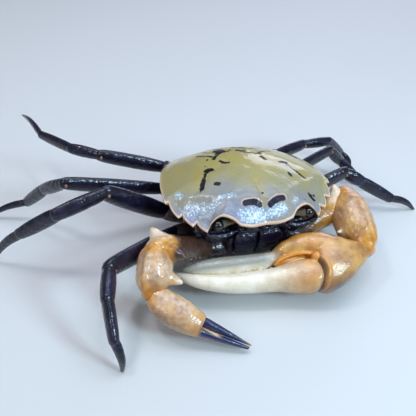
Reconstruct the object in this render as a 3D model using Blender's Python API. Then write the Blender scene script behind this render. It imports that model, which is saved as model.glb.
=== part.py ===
"""A male freshwater crab, Somanniathelphusa sinensis, life size and standing still.

Every length is in millimetres until a mesh is made. The crab is built about its own
shell: x runs to the crab's left, y to its back and z up, with z = 0 at the top of the
shell and y = 0 near its front edge. An empty then puts the middle of its footprint on
the origin, with the ground at z = 0.
"""

import math

import bmesh
import bpy
from mathutils import Vector

MM = 0.001

# Driving dimensions
SHELL_WIDTH = 42.0
HALF = SHELL_WIDTH / 2
FLOOR = -24.4
GAP = 0.3
CLEARANCE = 0.35
SHELL_CENTRE_Y = 15.0
RIM_THICKNESS = 0.9

# Head: places on the left side, mirrored for the right
EYE_RADIUS = 1.25
EYESTALK_RADIUS = 1.0
EYESTALK_LENGTH = 3.4
EYE_OUTWARD = {1: 11.0, -1: 10.1}  # the crab holds its left eye further out
EYE_ROOT = (4.6, -7.2)
EYE_NECK = (3.7, -6.9)
EYE_SINK = 0.7  # from the end of the stalk to the middle of the eye
STALK_OUTLINE = ((0, 0.8, 0.8), (0.5, 0.85, 0.85), (0.85, 1.05, 1.05), (1, 1.1, 1.1))
ORBIT_ROWS = ((-0.4, 1.3), (1.2, 1.7), (3.6, 2.1), (6.0, 2.2), (7.0, 1.4))  # reach along the eye, half height
ORBIT_FORWARD = (0, -0.8, -0.15)
ANTENNA_RADIUS = 0.55
ANTENNA_JOINTS = ((4.9, 4.2, -8.2), (6.4, 1.4, -9.0))
ANTENNA_OUTLINE = ((0, 1, 1), (0.45, 1, 1), (0.55, 0.6, 0.6), (1, 0.5, 0.5))

# Half of the shell's edge, from the middle of the front round the left side to the back
FRONT_EDGE = ((0.0, 1.3, -6.4), (3.6, 0.7, -6.0), (6.5, 1.0, -5.3))
ORBIT_EDGE = ((6.5, 1.0, -5.3), (8.2, 2.7, -4.4), (10.6, 3.3, -3.8), (12.6, 3.0, -5.2), (13.8, 2.0, -6.9))
TEETH = ((13.8, 2.0, -6.9), (16.5, 4.2, -6.7), (19.1, 7.1, -6.2), (HALF, 11.6, -5.4))
NOTCHES = ((15.4, 5.1, -6.6), (18.0, 7.9, -6.2), (20.2, 12.1, -5.6))
TEETH_BASE = ((13.6, 2.6), (15.6, 5.0), (18.1, 7.8), (20.3, 12.0), (20.8, 13.4))
FLANK_EDGE = (
    (HALF, 14.4, -5.6),
    (20.4, 19.4, -6.1),
    (18.2, 26.3, -7.3),
    (13.6, 31.9, -8.7),
    (8.3, 34.4, -9.4),
    (0.0, 35.0, -9.6),
)
TOOTH_BULGE = (0.35, -0.1, 0)

# Rings of the shell, as shares of its outline: the dome, then the wall under the rim
DOME_RINGS = (0.08, 0.17, 0.26, 0.35, 0.44, 0.53, 0.62, 0.7, 0.78, 0.85, 0.91, 0.96)
WALL_RINGS = ((0.93, 0.05), (0.86, 0.35), (0.81, 0.75), (0.78, 1.0))
DOME_ROUNDNESS = (0.42, 0.74)  # share of the height that falls as a parabola: lengthways, across
DOME_EDGE_POWER = 3.4  # how late the rest of the height falls
FACE_START = SHELL_CENTRE_Y - 2  # the wall slopes in under the front, ahead of this y
FACE_REACH = 9.0
FACE_SLOPE = (0.08, 0.11)
THORAX_RINGS = ((0.0, 0.68), (0.3, 0.75), (0.65, 0.73), (0.88, 0.64), (1.0, 0.52))
THORAX_INSET = (0.94, 0.98)

# The plane on which the shell rests on the underside of the body
SPLIT_Z = -14.4
SPLIT_SLOPE = 0.14
BODY_BOTTOM = -20.6

# Grooves of the shell: (half x, y) points, radius and depth
GROOVES = (
    (((4.6, 22.5), (4.2, 18.5), (6.6, 16.2), (9.6, 15.8), (11.4, 12.4), (13.8, 8.8)), 1.7, 0.55),
    (((4.2, 18.5), (2.0, 15.5), (0.0, 14.6)), 1.4, 0.35),
)
CRESTS = (((1.3, 4.3), (3.0, 3.9), (4.8, 4.3)), 1.1, 0.5)

# Joints of each limb in its pose: root, knee, wrist, ankle and tip. A claw has no ankle
LEG_JOINTS = {
    "leg1_right": (
        (-18, 12.5, -16), (-36.3, -1.6, -9.6), (-37.9, -8.2, -11.5),
        (-37.9, -14.8, -16.5), (-36.7, -17, -24.9),
    ),
    "leg2_right": (
        (-18.3, 19.3, -15.2), (-33.9, 15.2, -3), (-45.3, 12.8, -5.5),
        (-53.5, 16.5, -13), (-61, 20.5, -24.9),
    ),
    "leg3_right": (
        (-17.2, 25.8, -12.8), (-42.3, 23.6, -5.5), (-46.8, 29.2, -11),
        (-51.5, 34.2, -18.5), (-62, 37, -24.9),
    ),
    "leg4_right": (
        (-15.6, 32.0, -10.7), (-32.4, 33.1, -5.4), (-39, 37.4, -5.5),
        (-45.6, 46.4, -6.5), (-49.7, 59.6, -8),
    ),
    "leg1_left": (
        (18, 12.8, -16), (29.2, 17.6, -18), (32, 14, -20.2),
        (32.8, 8, -21.6), (30.2, 2.8, -24.9),
    ),
    "leg2_left": (
        (18.3, 19.3, -15.2), (32.8, 22.4, -12), (37.6, 20.8, -14.5),
        (47.5, 17.8, -20), (56.5, 16.4, -24.9),
    ),
    "leg3_left": (
        (17.2, 25.8, -12.8), (33.6, 33, -12), (38.8, 34, -17),
        (43.5, 28.6, -21), (51.5, 24.6, -24.9),
    ),
    "leg4_left": (
        (15.6, 32.0, -10.7), (26.9, 37, -11.8), (35.9, 38.2, -12.5),
        (42.8, 40.2, -19), (46.6, 38.2, -24.9),
    ),
}
CLAW_JOINTS = {
    "claw_right": ((-11.5, 6, -16), (-25.3, 0.9, -9.2), (-28.5, -5.9, -15), (-9.3, -19.1, -22.8)),
    "claw_left": ((11.5, 6, -16), (26.0, 11.0, -11), (25.4, -4.2, -14.8), (-20.2, 0.6, -16.5)),
}
SOCKET_RADIUS = {"leg": 2.4, "claw": 3.1}

# Half thickness and half height at the thickest place of each segment of a walking leg
LEG_SEGMENTS = {"merus": (1.35, 2.4), "carpus": (1.35, 1.9), "propodus": (1.15, 1.9), "dactyl": (0.85, 1.15)}
LEG_SCALE = {1: 1.22, 2: 1.05, 3: 0.88, 4: 0.88}

# Outline of each segment: share of the length, of the thickness and of the height
SEGMENT_OUTLINE = {
    "merus": (
        (0, 0.8, 0.7),
        (0.12, 0.95, 0.88),
        (0.4, 1, 1),
        (0.75, 1, 0.97),
        (0.93, 1, 0.88),
        (1, 0.92, 0.78),
    ),
    "carpus": ((0, 0.85, 0.78), (0.25, 1, 0.92), (0.65, 1.05, 1.02), (1, 0.95, 0.9)),
    "propodus": ((0, 0.95, 0.84), (0.2, 1, 0.95), (0.65, 0.95, 0.92), (1, 0.86, 0.76)),
    "dactyl": ((0, 1.08, 1.12), (0.2, 1.02, 1.06), (0.55, 0.78, 0.76), (0.85, 0.5, 0.42), (1, 0.36, 0.3)),
}
DACTYL_CURVE = 1.1

# Claws, seen in the plane of their fingers: distance from the wrist, back edge, front edge, half thickness
BIG_HAND = (
    (0.6, -1.9, 2.6, 2.6),
    (2.6, -2.4, 4.4, 3.6),
    (5.5, -3.2, 6.8, 4.6),
    (9.0, -4.5, 8.6, 5.2),
    (12.2, -5.4, 9.4, 5.2),
    (12.9, -5.5, 8.9, 4.9),
    (13.1, -5.5, 0.3, 4.9),
    (17.0, -5.4, -0.6, 4.4),
    (21.0, -3.9, -0.2, 3.2),
    (24.0, -2.4, 1.2, 2.3),
    (30.0, -2.0, 1.6, 1.9),
    (36.0, -2.1, 1.6, 1.6),
    (41.0, -1.7, 1.0, 1.2),
    (45.0, -0.7, 0.2, 0.5),
)
BIG_FINGER = (
    (13.5, 0.9, 8.4, 3.1),
    (15.6, 0.7, 9.0, 3.6),
    (20.0, 0.9, 8.3, 3.3),
    (24.0, 2.0, 7.5, 2.7),
    (30.0, 2.3, 7.2, 2.4),
    (36.0, 2.2, 6.4, 2.1),
    (41.0, 1.6, 5.0, 1.6),
    (44.5, 0.8, 3.2, 1.1),
    (46.6, 0.1, 1.1, 0.5),
)
SMALL_HAND = (
    (0.5, -2.3, 2.0, 2.2),
    (2.5, -3.6, 2.6, 2.8),
    (5.5, -4.2, 2.8, 3.2),
    (9.0, -4.2, 2.5, 3.1),
    (12.0, -3.7, 1.9, 2.6),
    (12.8, -3.4, 1.6, 2.3),
    (13.0, -3.1, -1.2, 1.7),
    (16.5, -2.3, -0.95, 1.2),
    (20.5, -1.4, -0.4, 0.8),
    (24.4, -0.5, 0.0, 0.4),
)
SMALL_FINGER = (
    (13.2, -0.85, 1.3, 1.6),
    (15.0, -0.75, 1.3, 1.5),
    (18.5, -0.35, 1.15, 1.1),
    (22.0, 0.1, 0.9, 0.7),
    (24.6, 0.4, 0.85, 0.4),
)
HANDS = {
    "claw_left": (BIG_HAND, BIG_FINGER, "finger"),
    "claw_right": (SMALL_HAND, SMALL_FINGER, "dark_finger"),
}
CLAW_TILT = {"claw_left": (25, 0), "claw_right": (30, -20)}

# Half thickness and half height of each claw's arm, and how far its ends round over past the joints
CLAW_ARMS = {
    "claw_left": {"merus": (3.4, 3.5), "carpus": (4.7, 5.0)},
    "claw_right": {"merus": (3.1, 3.3), "carpus": (3.8, 4.0)},
}
CLAW_ARM_OUTLINE = {
    "merus": ((0, 0.66, 0.66), (0.2, 0.84, 0.82), (0.6, 1, 1), (0.85, 1.08, 1.12), (1, 0.95, 1.0)),
    "carpus": (
        (0, 0.86, 0.86),
        (0.15, 1.0, 1.0),
        (0.4, 1.06, 1.06),
        (0.7, 1.0, 1.0),
        (0.9, 0.8, 0.8),
        (1, 0.62, 0.62),
    ),
}
CLAW_OVERSHOOT = {"merus": 0.9, "carpus": 0.7}
LEG_OVERSHOOT = 1.05

# Inner spine of each claw's carpus: place along it, tip from there, and radius
CARPUS_SPINE = {"claw_left": (0.55, (-6.0, -1.5, 0.4), 1.7), "claw_right": (0.5, (5.6, -3.7, -0.9), 2.0)}

# Corners of the lip at the far end of each claw's merus: tip and foot radius
MERUS_LIP = {
    "claw_left": (((22.6, 11.2, -8.2), 2.2),),
    "claw_right": (((-25.6, 6.0, -6.6), 2.2), ((-20.6, -4.1, -6.9), 2.4)),
}
LIP_SINK = 2.0

# Folded tail: middle line down the back and forward under the body, and half its width there
TAIL_PATH = (
    (0, 33.2, -11.9),
    (0, 33.8, -15),
    (0, 32.4, -18.2),
    (0, 28.4, -20.9),
    (0, 20.5, -21.4),
    (0, 12.5, -21.2),
)
TAIL_WIDTHS = ((7.4, 0, 0), (8.2, 0, 0), (7.4, 0, 0), (4.6, 0, 0), (2.8, 0, 0), (1.5, 0, 0))
TAIL_SECTION = ((-1, -0.5), (-0.6, -1), (0.6, -1), (1, -0.5), (1, 0.5), (0.6, 1), (-0.6, 1), (-1, 0.5))
TAIL_THICKNESS = (0.65, 0.85)

# Doors of the mouth: height, front and outer edge of each row, then the section of a row
MOUTH_ROWS = (
    (-10.6, 4.0, 6.2),
    (-11.8, 3.2, 7.4),
    (-14.4, 3.0, 7.5),
    (-14.9, 3.4, 7.3),
    (-15.4, 3.1, 7.2),
    (-18.6, 4.2, 5.8),
    (-19.8, 5.2, 4.4),
)

COLOURS = {
    "shell": (0.30, 0.28, 0.16),
    "belly": (0.55, 0.45, 0.33),
    "leg": (0.035, 0.022, 0.040),
    "claw": (0.72, 0.42, 0.18),
    "finger": (0.82, 0.70, 0.50),
    "dark_finger": (0.03, 0.035, 0.07),
    "eye": (0.005, 0.005, 0.006),
    "stalk": (0.35, 0.25, 0.12),
    "mouth": (0.06, 0.035, 0.035),
}
ROUGHNESS = {"eye": 0.05, "finger": 0.25, "claw": 0.3}


def clear_scene():
    for obj in list(bpy.data.objects):
        bpy.data.objects.remove(obj, do_unlink=True)


def material(name):
    made = bpy.data.materials.get(name)
    if made is None:
        made = bpy.data.materials.new(name)
        made.use_nodes = True
        shader = made.node_tree.nodes["Principled BSDF"]
        shader.inputs["Base Color"].default_value = (*COLOURS[name], 1.0)
        shader.inputs["Roughness"].default_value = ROUGHNESS.get(name, 0.35)
        shader.inputs["Metallic"].default_value = 0.0
    return made


# Curves and lofts


def smooth_path(points, count):
    """Points at even steps along a curve through the given ones, both ends included."""
    points = [Vector(p) for p in points]
    ends = [2 * points[0] - points[1], *points, 2 * points[-1] - points[-2]]
    path = []
    for step in range(count):
        place = step * (len(points) - 1) / (count - 1)
        index = min(int(place), len(points) - 2)
        t = place - index
        a, b, c, d = ends[index : index + 4]
        bend = 2 * a - 5 * b + 4 * c - d
        twist = 3 * b - a - 3 * c + d
        path.append(0.5 * (2 * b + (c - a) * t + bend * t**2 + twist * t**3))
    return path


def loft(rings):
    """A closed bmesh through rings of equally many points, with flat ends."""
    bm = bmesh.new()
    rows = [[bm.verts.new(p) for p in ring] for ring in rings]
    count = len(rows[0])
    for lower, upper in zip(rows, rows[1:]):
        for i in range(count):
            j = (i + 1) % count
            bm.faces.new((lower[i], lower[j], upper[j], upper[i]))
    bm.faces.new(rows[0][::-1])
    bm.faces.new(rows[-1])
    bmesh.ops.recalc_face_normals(bm, faces=bm.faces)
    return bm


def trim(bm, point, normal):
    """Cuts off what lies past the plane and closes the cut."""
    everything = bm.verts[:] + bm.edges[:] + bm.faces[:]
    cut = bmesh.ops.bisect_plane(
        bm, geom=everything, dist=1e-5, plane_co=point, plane_no=normal, clear_outer=True
    )
    edges = [e for e in cut["geom_cut"] if isinstance(e, bmesh.types.BMEdge)]
    bmesh.ops.holes_fill(bm, edges=edges)


def cone(base, tip, radius, sides=6):
    """A spine from its sunk root to its tip."""
    base, tip = Vector(base), Vector(tip)
    along = (tip - base).normalized()
    side = along.orthogonal().normalized()
    up = along.cross(side)
    rings = []
    for share, width in ((0.0, 1.0), (0.6, 0.6), (1.0, 0.16)):
        centre = base.lerp(tip, share)
        turn = [2 * math.pi * i / sides for i in range(sides)]
        rings.append([centre + radius * width * (side * math.cos(t) + up * math.sin(t)) for t in turn])
    return loft(rings)


def ball(centre, radius):
    bm = bmesh.new()
    bmesh.ops.create_uvsphere(bm, u_segments=16, v_segments=10, radius=radius)
    bmesh.ops.translate(bm, verts=bm.verts, vec=centre)
    return bm


def grown(bm, distance):
    """A copy pushed out along its normals, for cutting a neighbour clear of it."""
    copy = bm.copy()
    copy.normal_update()
    moved = {vert: vert.co + vert.normal * distance * vert.calc_shell_factor() for vert in copy.verts}
    for vert, place in moved.items():
        vert.co = place
    return copy


# Objects


def to_object(bm, name, colour, holder):
    mesh = bpy.data.meshes.new(name)
    bmesh.ops.triangulate(bm, faces=bm.faces)
    bmesh.ops.recalc_face_normals(bm, faces=bm.faces)
    for vert in bm.verts:
        vert.co *= MM
    bm.to_mesh(mesh)
    bm.free()
    mesh.shade_smooth()
    mesh.set_sharp_from_angle(angle=math.radians(50))
    mesh.materials.append(material(colour))
    obj = bpy.data.objects.new(name, mesh)
    holder.objects.link(obj)
    return obj


def combine(obj, pieces, operation):
    """One Boolean of the object with closed bmeshes, applied, keeping its largest closed surface."""
    tools = bpy.data.collections.new(obj.name + "_tools")
    bpy.context.scene.collection.children.link(tools)
    for number, piece in enumerate(pieces):
        to_object(piece, f"{obj.name}_tool{number}", "belly", tools)
    modifier = obj.modifiers.new(operation.lower(), "BOOLEAN")
    modifier.operation = operation
    modifier.operand_type = "COLLECTION"
    modifier.collection = tools
    modifier.solver = "EXACT"
    graph = bpy.context.evaluated_depsgraph_get()
    result = bpy.data.meshes.new_from_object(obj.evaluated_get(graph))
    obj.modifiers.clear()
    old = obj.data
    obj.data = result
    bpy.data.meshes.remove(old)
    for tool in list(tools.objects):
        bpy.data.objects.remove(tool, do_unlink=True)
    bpy.data.collections.remove(tools)
    keep_largest(obj)


def keep_largest(obj):
    bm = bmesh.new()
    bm.from_mesh(obj.data)
    bmesh.ops.remove_doubles(bm, verts=bm.verts, dist=1e-7)
    todo = set(bm.verts)
    groups = []
    while todo:
        group, edge = set(), [todo.pop()]
        while edge:
            vert = edge.pop()
            group.add(vert)
            near = {e.other_vert(vert) for e in vert.link_edges} & todo
            todo -= near
            edge.extend(near)
        groups.append(group)
    groups.sort(key=len)
    loose = [v for group in groups[:-1] for v in group]
    bmesh.ops.delete(bm, geom=loose, context="VERTS")
    bmesh.ops.triangulate(bm, faces=bm.faces)
    bm.to_mesh(obj.data)
    bm.free()
    obj.data.set_sharp_from_angle(angle=math.radians(50))


# Shell


def half_rim():
    """The left half of the rim with its teeth, and the outline through the roots of the teeth."""
    front = smooth_path(FRONT_EDGE, 5)[:-1]
    orbit = smooth_path(ORBIT_EDGE, 8)[:-1]
    zigzag = []
    for number, tooth in enumerate(TEETH):
        tooth = Vector(tooth)
        zigzag.append(tooth)
        if number < len(NOTCHES):
            notch = Vector(NOTCHES[number])
            ahead = Vector(TEETH[number + 1])
            zigzag += [tooth.lerp(notch, 0.5) + Vector(TOOTH_BULGE), notch, notch.lerp(ahead, 0.4)]
    flank = smooth_path(FLANK_EDGE, 15)
    base = [p.to_2d() for p in front + orbit]
    base += [p.to_2d() for p in smooth_path([(*p, 0) for p in TEETH_BASE], len(zigzag))]
    base += [p.to_2d() for p in flank]
    return front + orbit + zigzag + flank, base


def both_sides(half):
    """The whole ring from its left half: the points on the middle line are kept once."""
    other = []
    for p in half[-2:0:-1]:
        mirrored = p.copy()
        mirrored.x = -mirrored.x
        other.append(mirrored)
    return half + other


def relief(x, y):
    """Height added by the crests and taken by the grooves."""
    total = 0.0
    for path, radius, depth in (*GROOVES, (CRESTS[0], CRESTS[1], -CRESTS[2])):
        near = min(distance_to(Vector((abs(x), y)), Vector(a), Vector(b)) for a, b in zip(path, path[1:]))
        total -= depth * math.exp(-((near / radius) ** 2))
    return total


def distance_to(point, a, b):
    along = b - a
    t = max(0.0, min(1.0, (point - a).dot(along) / along.length_squared))
    return (point - a - along * t).length


def dome(share, rim_z, sideways):
    """Height of the dome at a share of the way to the rim: round across and flatter along."""
    along, across = DOME_ROUNDNESS
    parabola = along + (across - along) * sideways
    return rim_z * (parabola * share**2 + (1 - parabola) * share**DOME_EDGE_POWER)


def softened(ring, reach=5):
    """The ring with its corners averaged away, for the inner part of the dome."""
    count = len(ring)
    near = range(-reach, reach + 1)
    return [sum((ring[(i + k) % count] for k in near), Vector((0, 0, 0))) / len(near) for i in range(count)]


def split_plane(y):
    return SPLIT_Z + SPLIT_SLOPE * (y - 5)


def shell(holder, cutters):
    rim, base = (both_sides(half) for half in half_rim())
    centre = Vector((0, SHELL_CENTRE_Y, 0))
    edge = [Vector((*flat, high.z)) for flat, high in zip(base, rim)]
    soft = softened(edge)
    count = range(len(rim))

    def at(i, share):
        """The corners of the outline show less and less towards the middle."""
        toward = soft[i].lerp(edge[i], share**4)
        return centre + (toward - centre) * share, toward

    rings = []
    for share in DOME_RINGS:
        ring = []
        for i in count:
            p, toward = at(i, share)
            out = toward - centre
            sideways = abs(out.x) / out.to_2d().length
            ring.append(Vector((p.x, p.y, dome(share, toward.z, sideways) + relief(p.x, p.y))))
        rings.append(ring)
    rings.append(rim)
    rings.append([p - Vector((0, 0, RIM_THICKNESS)) for p in rim])
    for share, depth in WALL_RINGS:
        ring = []
        for i in count:
            frontal = max(0.0, min(1.0, (FACE_START - base[i].y) / FACE_REACH))
            p = at(i, share * (1 - (FACE_SLOPE[0] + FACE_SLOPE[1] * depth) * frontal))[0]
            top = rim[i].z - RIM_THICKNESS - GAP
            ring.append(Vector((p.x, p.y, top + (split_plane(p.y) - top) * depth)))
        rings.append(ring)
    made = to_object(loft(rings), "carapace", "shell", holder)
    combine(made, cutters, "DIFFERENCE")
    return made


# Underside


def thorax(holder, coxae, cutters):
    base = both_sides(half_rim()[1])
    centre = Vector((0, SHELL_CENTRE_Y))
    rings = []
    for depth, share in THORAX_RINGS:
        ring = []
        for p in base[::2]:
            out = (p - centre) * share
            place = centre + Vector((out.x * THORAX_INSET[0], out.y * THORAX_INSET[1]))
            top = split_plane(place.y) - GAP
            ring.append(Vector((place.x, place.y, top + (BODY_BOTTOM - top) * depth)))
        rings.append(ring)
    made = to_object(loft(rings), "thorax", "belly", holder)
    combine(made, coxae, "UNION")
    combine(made, cutters, "DIFFERENCE")
    return made


def abdomen_bmesh():
    """The folded tail plate: broad behind the body, then narrow and blunt under it."""
    count = 19
    path = smooth_path(TAIL_PATH, count)
    widths = smooth_path(TAIL_WIDTHS, count)
    rings = []
    for i, (p, width) in enumerate(zip(path, widths)):
        along = (path[min(i + 1, count - 1)] - path[max(i - 1, 0)]).normalized()
        out = Vector((1, 0, 0)).cross(along)
        half = TAIL_THICKNESS[i % 2]
        rings.append([p + Vector((x * width.x, 0, 0)) + out * thick * half for x, thick in TAIL_SECTION])
    return loft(rings)


def maxilliped_bmesh(side):
    """One of the two flat doors that close the mouth."""
    rings = []
    for z, y, outer in MOUTH_ROWS:
        outline = ((0.2, 0.3), (0.2, 1.6), (outer, 2.2), (outer, 1.0), (outer * 0.75, 0.15), (1.2, 0.0))
        rings.append([Vector((side * x, y + back, z)) for x, back in outline])
    return loft(rings)


# Limbs


def section(centre, along, up, half_width, half_height, sides=10, edge=1.15):
    """One ring of a limb, a little pointed above and below."""
    upward = (up - along * up.dot(along)).normalized()
    side = along.cross(upward)
    ring = []
    for i in range(sides):
        t = 2 * math.pi * (i + 0.5) / sides
        x = math.copysign(abs(math.cos(t)) ** edge, math.cos(t))
        ring.append(centre + side * half_width * x + upward * half_height * math.sin(t))
    return ring


def mitre(before, here, after):
    """The plane that halves the bend at a joint: its normal points along the limb."""
    return ((here - before).normalized() + (after - here).normalized()).normalized()


def rounded_end(station, radius, way, overshoot):
    """Two shrinking sections past the end of a segment, which round it off beyond the joint."""
    reach, width, height, bow = station
    steps = ((overshoot, 0.3), (overshoot * 0.62, 0.76))
    return [(reach + way * radius * height * past, width * size, height * size, bow) for past, size in steps]


def segment(
    joints, index, outline, half_width, half_height, sides=10, curve=0.0, overshoot=LEG_OVERSHOOT
):
    """The limb's piece from one joint to the next, cut off flat halfway into each bend."""
    a, b = joints[index], joints[index + 1]
    along = (b - a).normalized()
    length = (b - a).length
    up = Vector((0, 0, 1))
    upward = (up - along * up.dot(along)).normalized()
    stations = [
        (share * length, width, height, math.sin(math.pi * share)) for share, width, height in outline
    ]
    if index > 0:
        stations = rounded_end(stations[0], half_height, -1, overshoot) + stations
    if index + 2 < len(joints):
        stations += rounded_end(stations[-1], half_height, 1, overshoot)[::-1]
    rings = []
    for reach, width, height, bow in stations:
        centre = a + along * reach + upward * curve * bow
        rings.append(section(centre, along, upward, half_width * width, half_height * height, sides))
    bm = loft(rings)
    if index > 0:
        normal = mitre(joints[index - 1], a, b)
        trim(bm, a + normal * GAP / 2, -normal)
    if index + 2 < len(joints):
        normal = mitre(a, b, joints[index + 2])
        trim(bm, b - normal * GAP / 2, normal)
    return bm


def socket_joint(root):
    """Where a limb's short first segment starts, inside the body."""
    return Vector((root.x * 0.55, root.y + (16 - root.y) * 0.15, -17.0))


def coxa_bmesh(root, knee, radius):
    joints = [socket_joint(root), root, knee]
    outline = ((0, 1, 1), (0.5, 1.05, 1.05), (0.85, 0.95, 0.95), (1, 0.85, 0.85))
    return segment(joints, 0, outline, radius, radius, sides=8)


def leg_bmeshes(name, joints):
    scale = LEG_SCALE[int(name[3])]
    chain = [socket_joint(joints[0]), *joints]
    pieces = {}
    for index, (part, (half_width, half_height)) in enumerate(LEG_SEGMENTS.items(), start=1):
        curve = DACTYL_CURVE if part == "dactyl" else 0.0
        pieces[part] = segment(
            chain, index, SEGMENT_OUTLINE[part], half_width * scale, half_height * scale, curve=curve
        )
    trim(pieces["dactyl"], Vector((0, 0, FLOOR)), Vector((0, 0, -1)))
    return pieces


def claw_plane(name, wrist, tip):
    """Directions of a claw: along the fingers, to their front edge, and out of its flat side."""
    tilt, turn = (math.radians(a) for a in CLAW_TILT[name])
    along = (tip - wrist).normalized()
    out = Vector((math.sin(turn) * math.sin(tilt), -math.cos(turn) * math.sin(tilt), math.cos(tilt)))
    out = (out - along * out.dot(along)).normalized()
    return along, out.cross(along), out


def claw_rings(name, wrist, tip, rows, sides=14):
    """Rings of a hand or a finger from its rows of edges and thicknesses."""
    along, front, out = claw_plane(name, wrist, tip)
    rings = []
    for reach, back, edge, half_thick in rows:
        centre = wrist + along * reach + front * (back + edge) / 2
        half = abs(edge - back) / 2
        ring = []
        for i in range(sides):
            t = 2 * math.pi * (i + 0.5) / sides
            x = math.copysign(abs(math.cos(t)) ** 0.85, math.cos(t))
            y = math.copysign(abs(math.sin(t)) ** 0.85, math.sin(t))
            ring.append(centre + front * half * x + out * half_thick * y)
        rings.append(ring)
    return rings


def claw_arm_bmeshes(name, joints):
    chain = [socket_joint(joints[0]), *joints]
    pieces = {}
    for index, (part, (half_width, half_height)) in enumerate(CLAW_ARMS[name].items(), start=1):
        pieces[part] = segment(
            chain,
            index,
            CLAW_ARM_OUTLINE[part],
            half_width,
            half_height,
            sides=14,
            overshoot=CLAW_OVERSHOOT[part],
        )
    return pieces


def lip_bmeshes(name, joints):
    """Corners of the lip that the carpus turns against, cut off at the joint."""
    root, elbow, wrist = joints[:3]
    foot = elbow - (elbow - root).normalized() * LIP_SINK
    normal = mitre(root, elbow, wrist)
    lips = [cone(foot, tip, radius, sides=10) for tip, radius in MERUS_LIP[name]]
    for lip in lips:
        trim(lip, elbow - normal * GAP / 2, normal)
    return lips


def claw(name, joints, holder):
    arm = claw_arm_bmeshes(name, joints)
    elbow, wrist, tip = joints[1:]
    hand_rows, finger_rows, finger_colour = HANDS[name]
    hand = loft(claw_rings(name, wrist, tip, hand_rows))
    normal = mitre(elbow, wrist, tip)
    trim(hand, wrist + normal * GAP / 2, -normal)
    merus = to_object(arm["merus"], name + "_merus", "claw", holder)
    combine(merus, lip_bmeshes(name, joints), "UNION")
    carpus = to_object(arm["carpus"], name + "_carpus", "claw", holder)
    share, tip_offset, radius = CARPUS_SPINE[name]
    root = elbow.lerp(wrist, share)
    combine(carpus, [cone(root, root + Vector(tip_offset), radius)], "UNION")
    to_object(hand, name + "_hand", "claw", holder)
    to_object(loft(claw_rings(name, wrist, tip, finger_rows)), name + "_finger", finger_colour, holder)


# Head


def eye_axis(side):
    """Root of the stalk, its end, where the eye starts, and the direction between them."""
    outward = EYE_OUTWARD[side]
    root = Vector((side * (outward - EYESTALK_LENGTH), *EYE_ROOT))
    neck = Vector((side * outward, *EYE_NECK))
    return root, neck, (neck - root).normalized()


def eye_bmeshes(side):
    root, neck, along = eye_axis(side)
    stalk = segment([root, neck], 0, STALK_OUTLINE, EYESTALK_RADIUS, EYESTALK_RADIUS)
    trim(stalk, neck - along * GAP / 2, along)
    eye = ball(neck + along * EYE_SINK, EYE_RADIUS)
    trim(eye, neck + along * GAP / 2, -along)
    return stalk, eye


def orbit_cutter(side):
    """The hollow that the eye lies in, open to the front."""
    root, _, along = eye_axis(side)
    rings = []
    for reach, half in ORBIT_ROWS:
        centre = root + along * reach + Vector(ORBIT_FORWARD)
        rings.append(section(centre, along, Vector((0, -0.3, 1)), half + 0.8, half, 12))
    return loft(rings)


def antenna_bmesh(side):
    joints = [Vector((side * x, y, z)) for x, y, z in ANTENNA_JOINTS]
    return segment(joints, 0, ANTENNA_OUTLINE, ANTENNA_RADIUS, ANTENNA_RADIUS, sides=8)


def place_on_ground(objects, holder):
    """Puts the middle of the footprint on the origin and the ground at z = 0."""
    points = [v.co for obj in objects for v in obj.data.vertices]
    low = [min(p[i] for p in points) for i in range(3)]
    high = [max(p[i] for p in points) for i in range(3)]
    root = bpy.data.objects.new("crab", None)
    holder.objects.link(root)
    root.location = (-(low[0] + high[0]) / 2, -(low[1] + high[1]) / 2, -FLOOR * MM)
    for obj in objects:
        obj.parent = root


def main():
    clear_scene()
    holder = bpy.data.collections.new("freshwater_crab")
    bpy.context.scene.collection.children.link(holder)
    sides = {"left": 1, "right": -1}

    legs = {name: [Vector(p) for p in joints] for name, joints in LEG_JOINTS.items()}
    claws = {name: [Vector(p) for p in joints] for name, joints in CLAW_JOINTS.items()}
    coxae = [coxa_bmesh(joints[0], joints[1], SOCKET_RADIUS["leg"]) for joints in legs.values()]
    coxae += [coxa_bmesh(joints[0], joints[1], SOCKET_RADIUS["claw"]) for joints in claws.values()]
    leg_parts = {name: leg_bmeshes(name, joints) for name, joints in legs.items()}
    thighs = [grown(parts["merus"], CLEARANCE) for parts in leg_parts.values()]
    thighs += [grown(claw_arm_bmeshes(name, joints)["merus"], CLEARANCE) for name, joints in claws.items()]

    shell_cutters = [grown(bm, CLEARANCE) for bm in coxae] + thighs
    for side in sides.values():
        shell_cutters += [orbit_cutter(side), grown(antenna_bmesh(side), CLEARANCE)]
        shell_cutters.append(grown(maxilliped_bmesh(side), CLEARANCE))
    shell_cutters.append(grown(abdomen_bmesh(), CLEARANCE))
    thorax_cutters = [grown(maxilliped_bmesh(side), CLEARANCE) for side in sides.values()]
    thorax_cutters.append(grown(abdomen_bmesh(), CLEARANCE))
    thorax_cutters += [bm.copy() for bm in thighs]

    shell(holder, shell_cutters)
    thorax(holder, coxae, thorax_cutters)
    to_object(abdomen_bmesh(), "abdomen", "belly", holder)
    for word, side in sides.items():
        to_object(maxilliped_bmesh(side), f"maxilliped_{word}", "mouth", holder)
        to_object(antenna_bmesh(side), f"antenna_{word}", "stalk", holder)
        stalk, eye = eye_bmeshes(side)
        to_object(stalk, f"eyestalk_{word}", "stalk", holder)
        to_object(eye, f"eye_{word}", "eye", holder)
    for name, parts in leg_parts.items():
        for part, bm in parts.items():
            to_object(bm, f"{name}_{part}", "leg", holder)
    for name, joints in claws.items():
        claw(name, joints, holder)
    place_on_ground([obj for obj in holder.objects if obj.type == "MESH"], holder)


main()
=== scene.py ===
# %% [markdown]
# # A freshwater crab on its toes
#
# The model is a male freshwater crab, life size, standing still with its large left claw
# folded across its front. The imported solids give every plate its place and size. This lesson
# draws each plate again with a finer skin, gives it its wet, living finish, and lights it.

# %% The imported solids
import math

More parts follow.
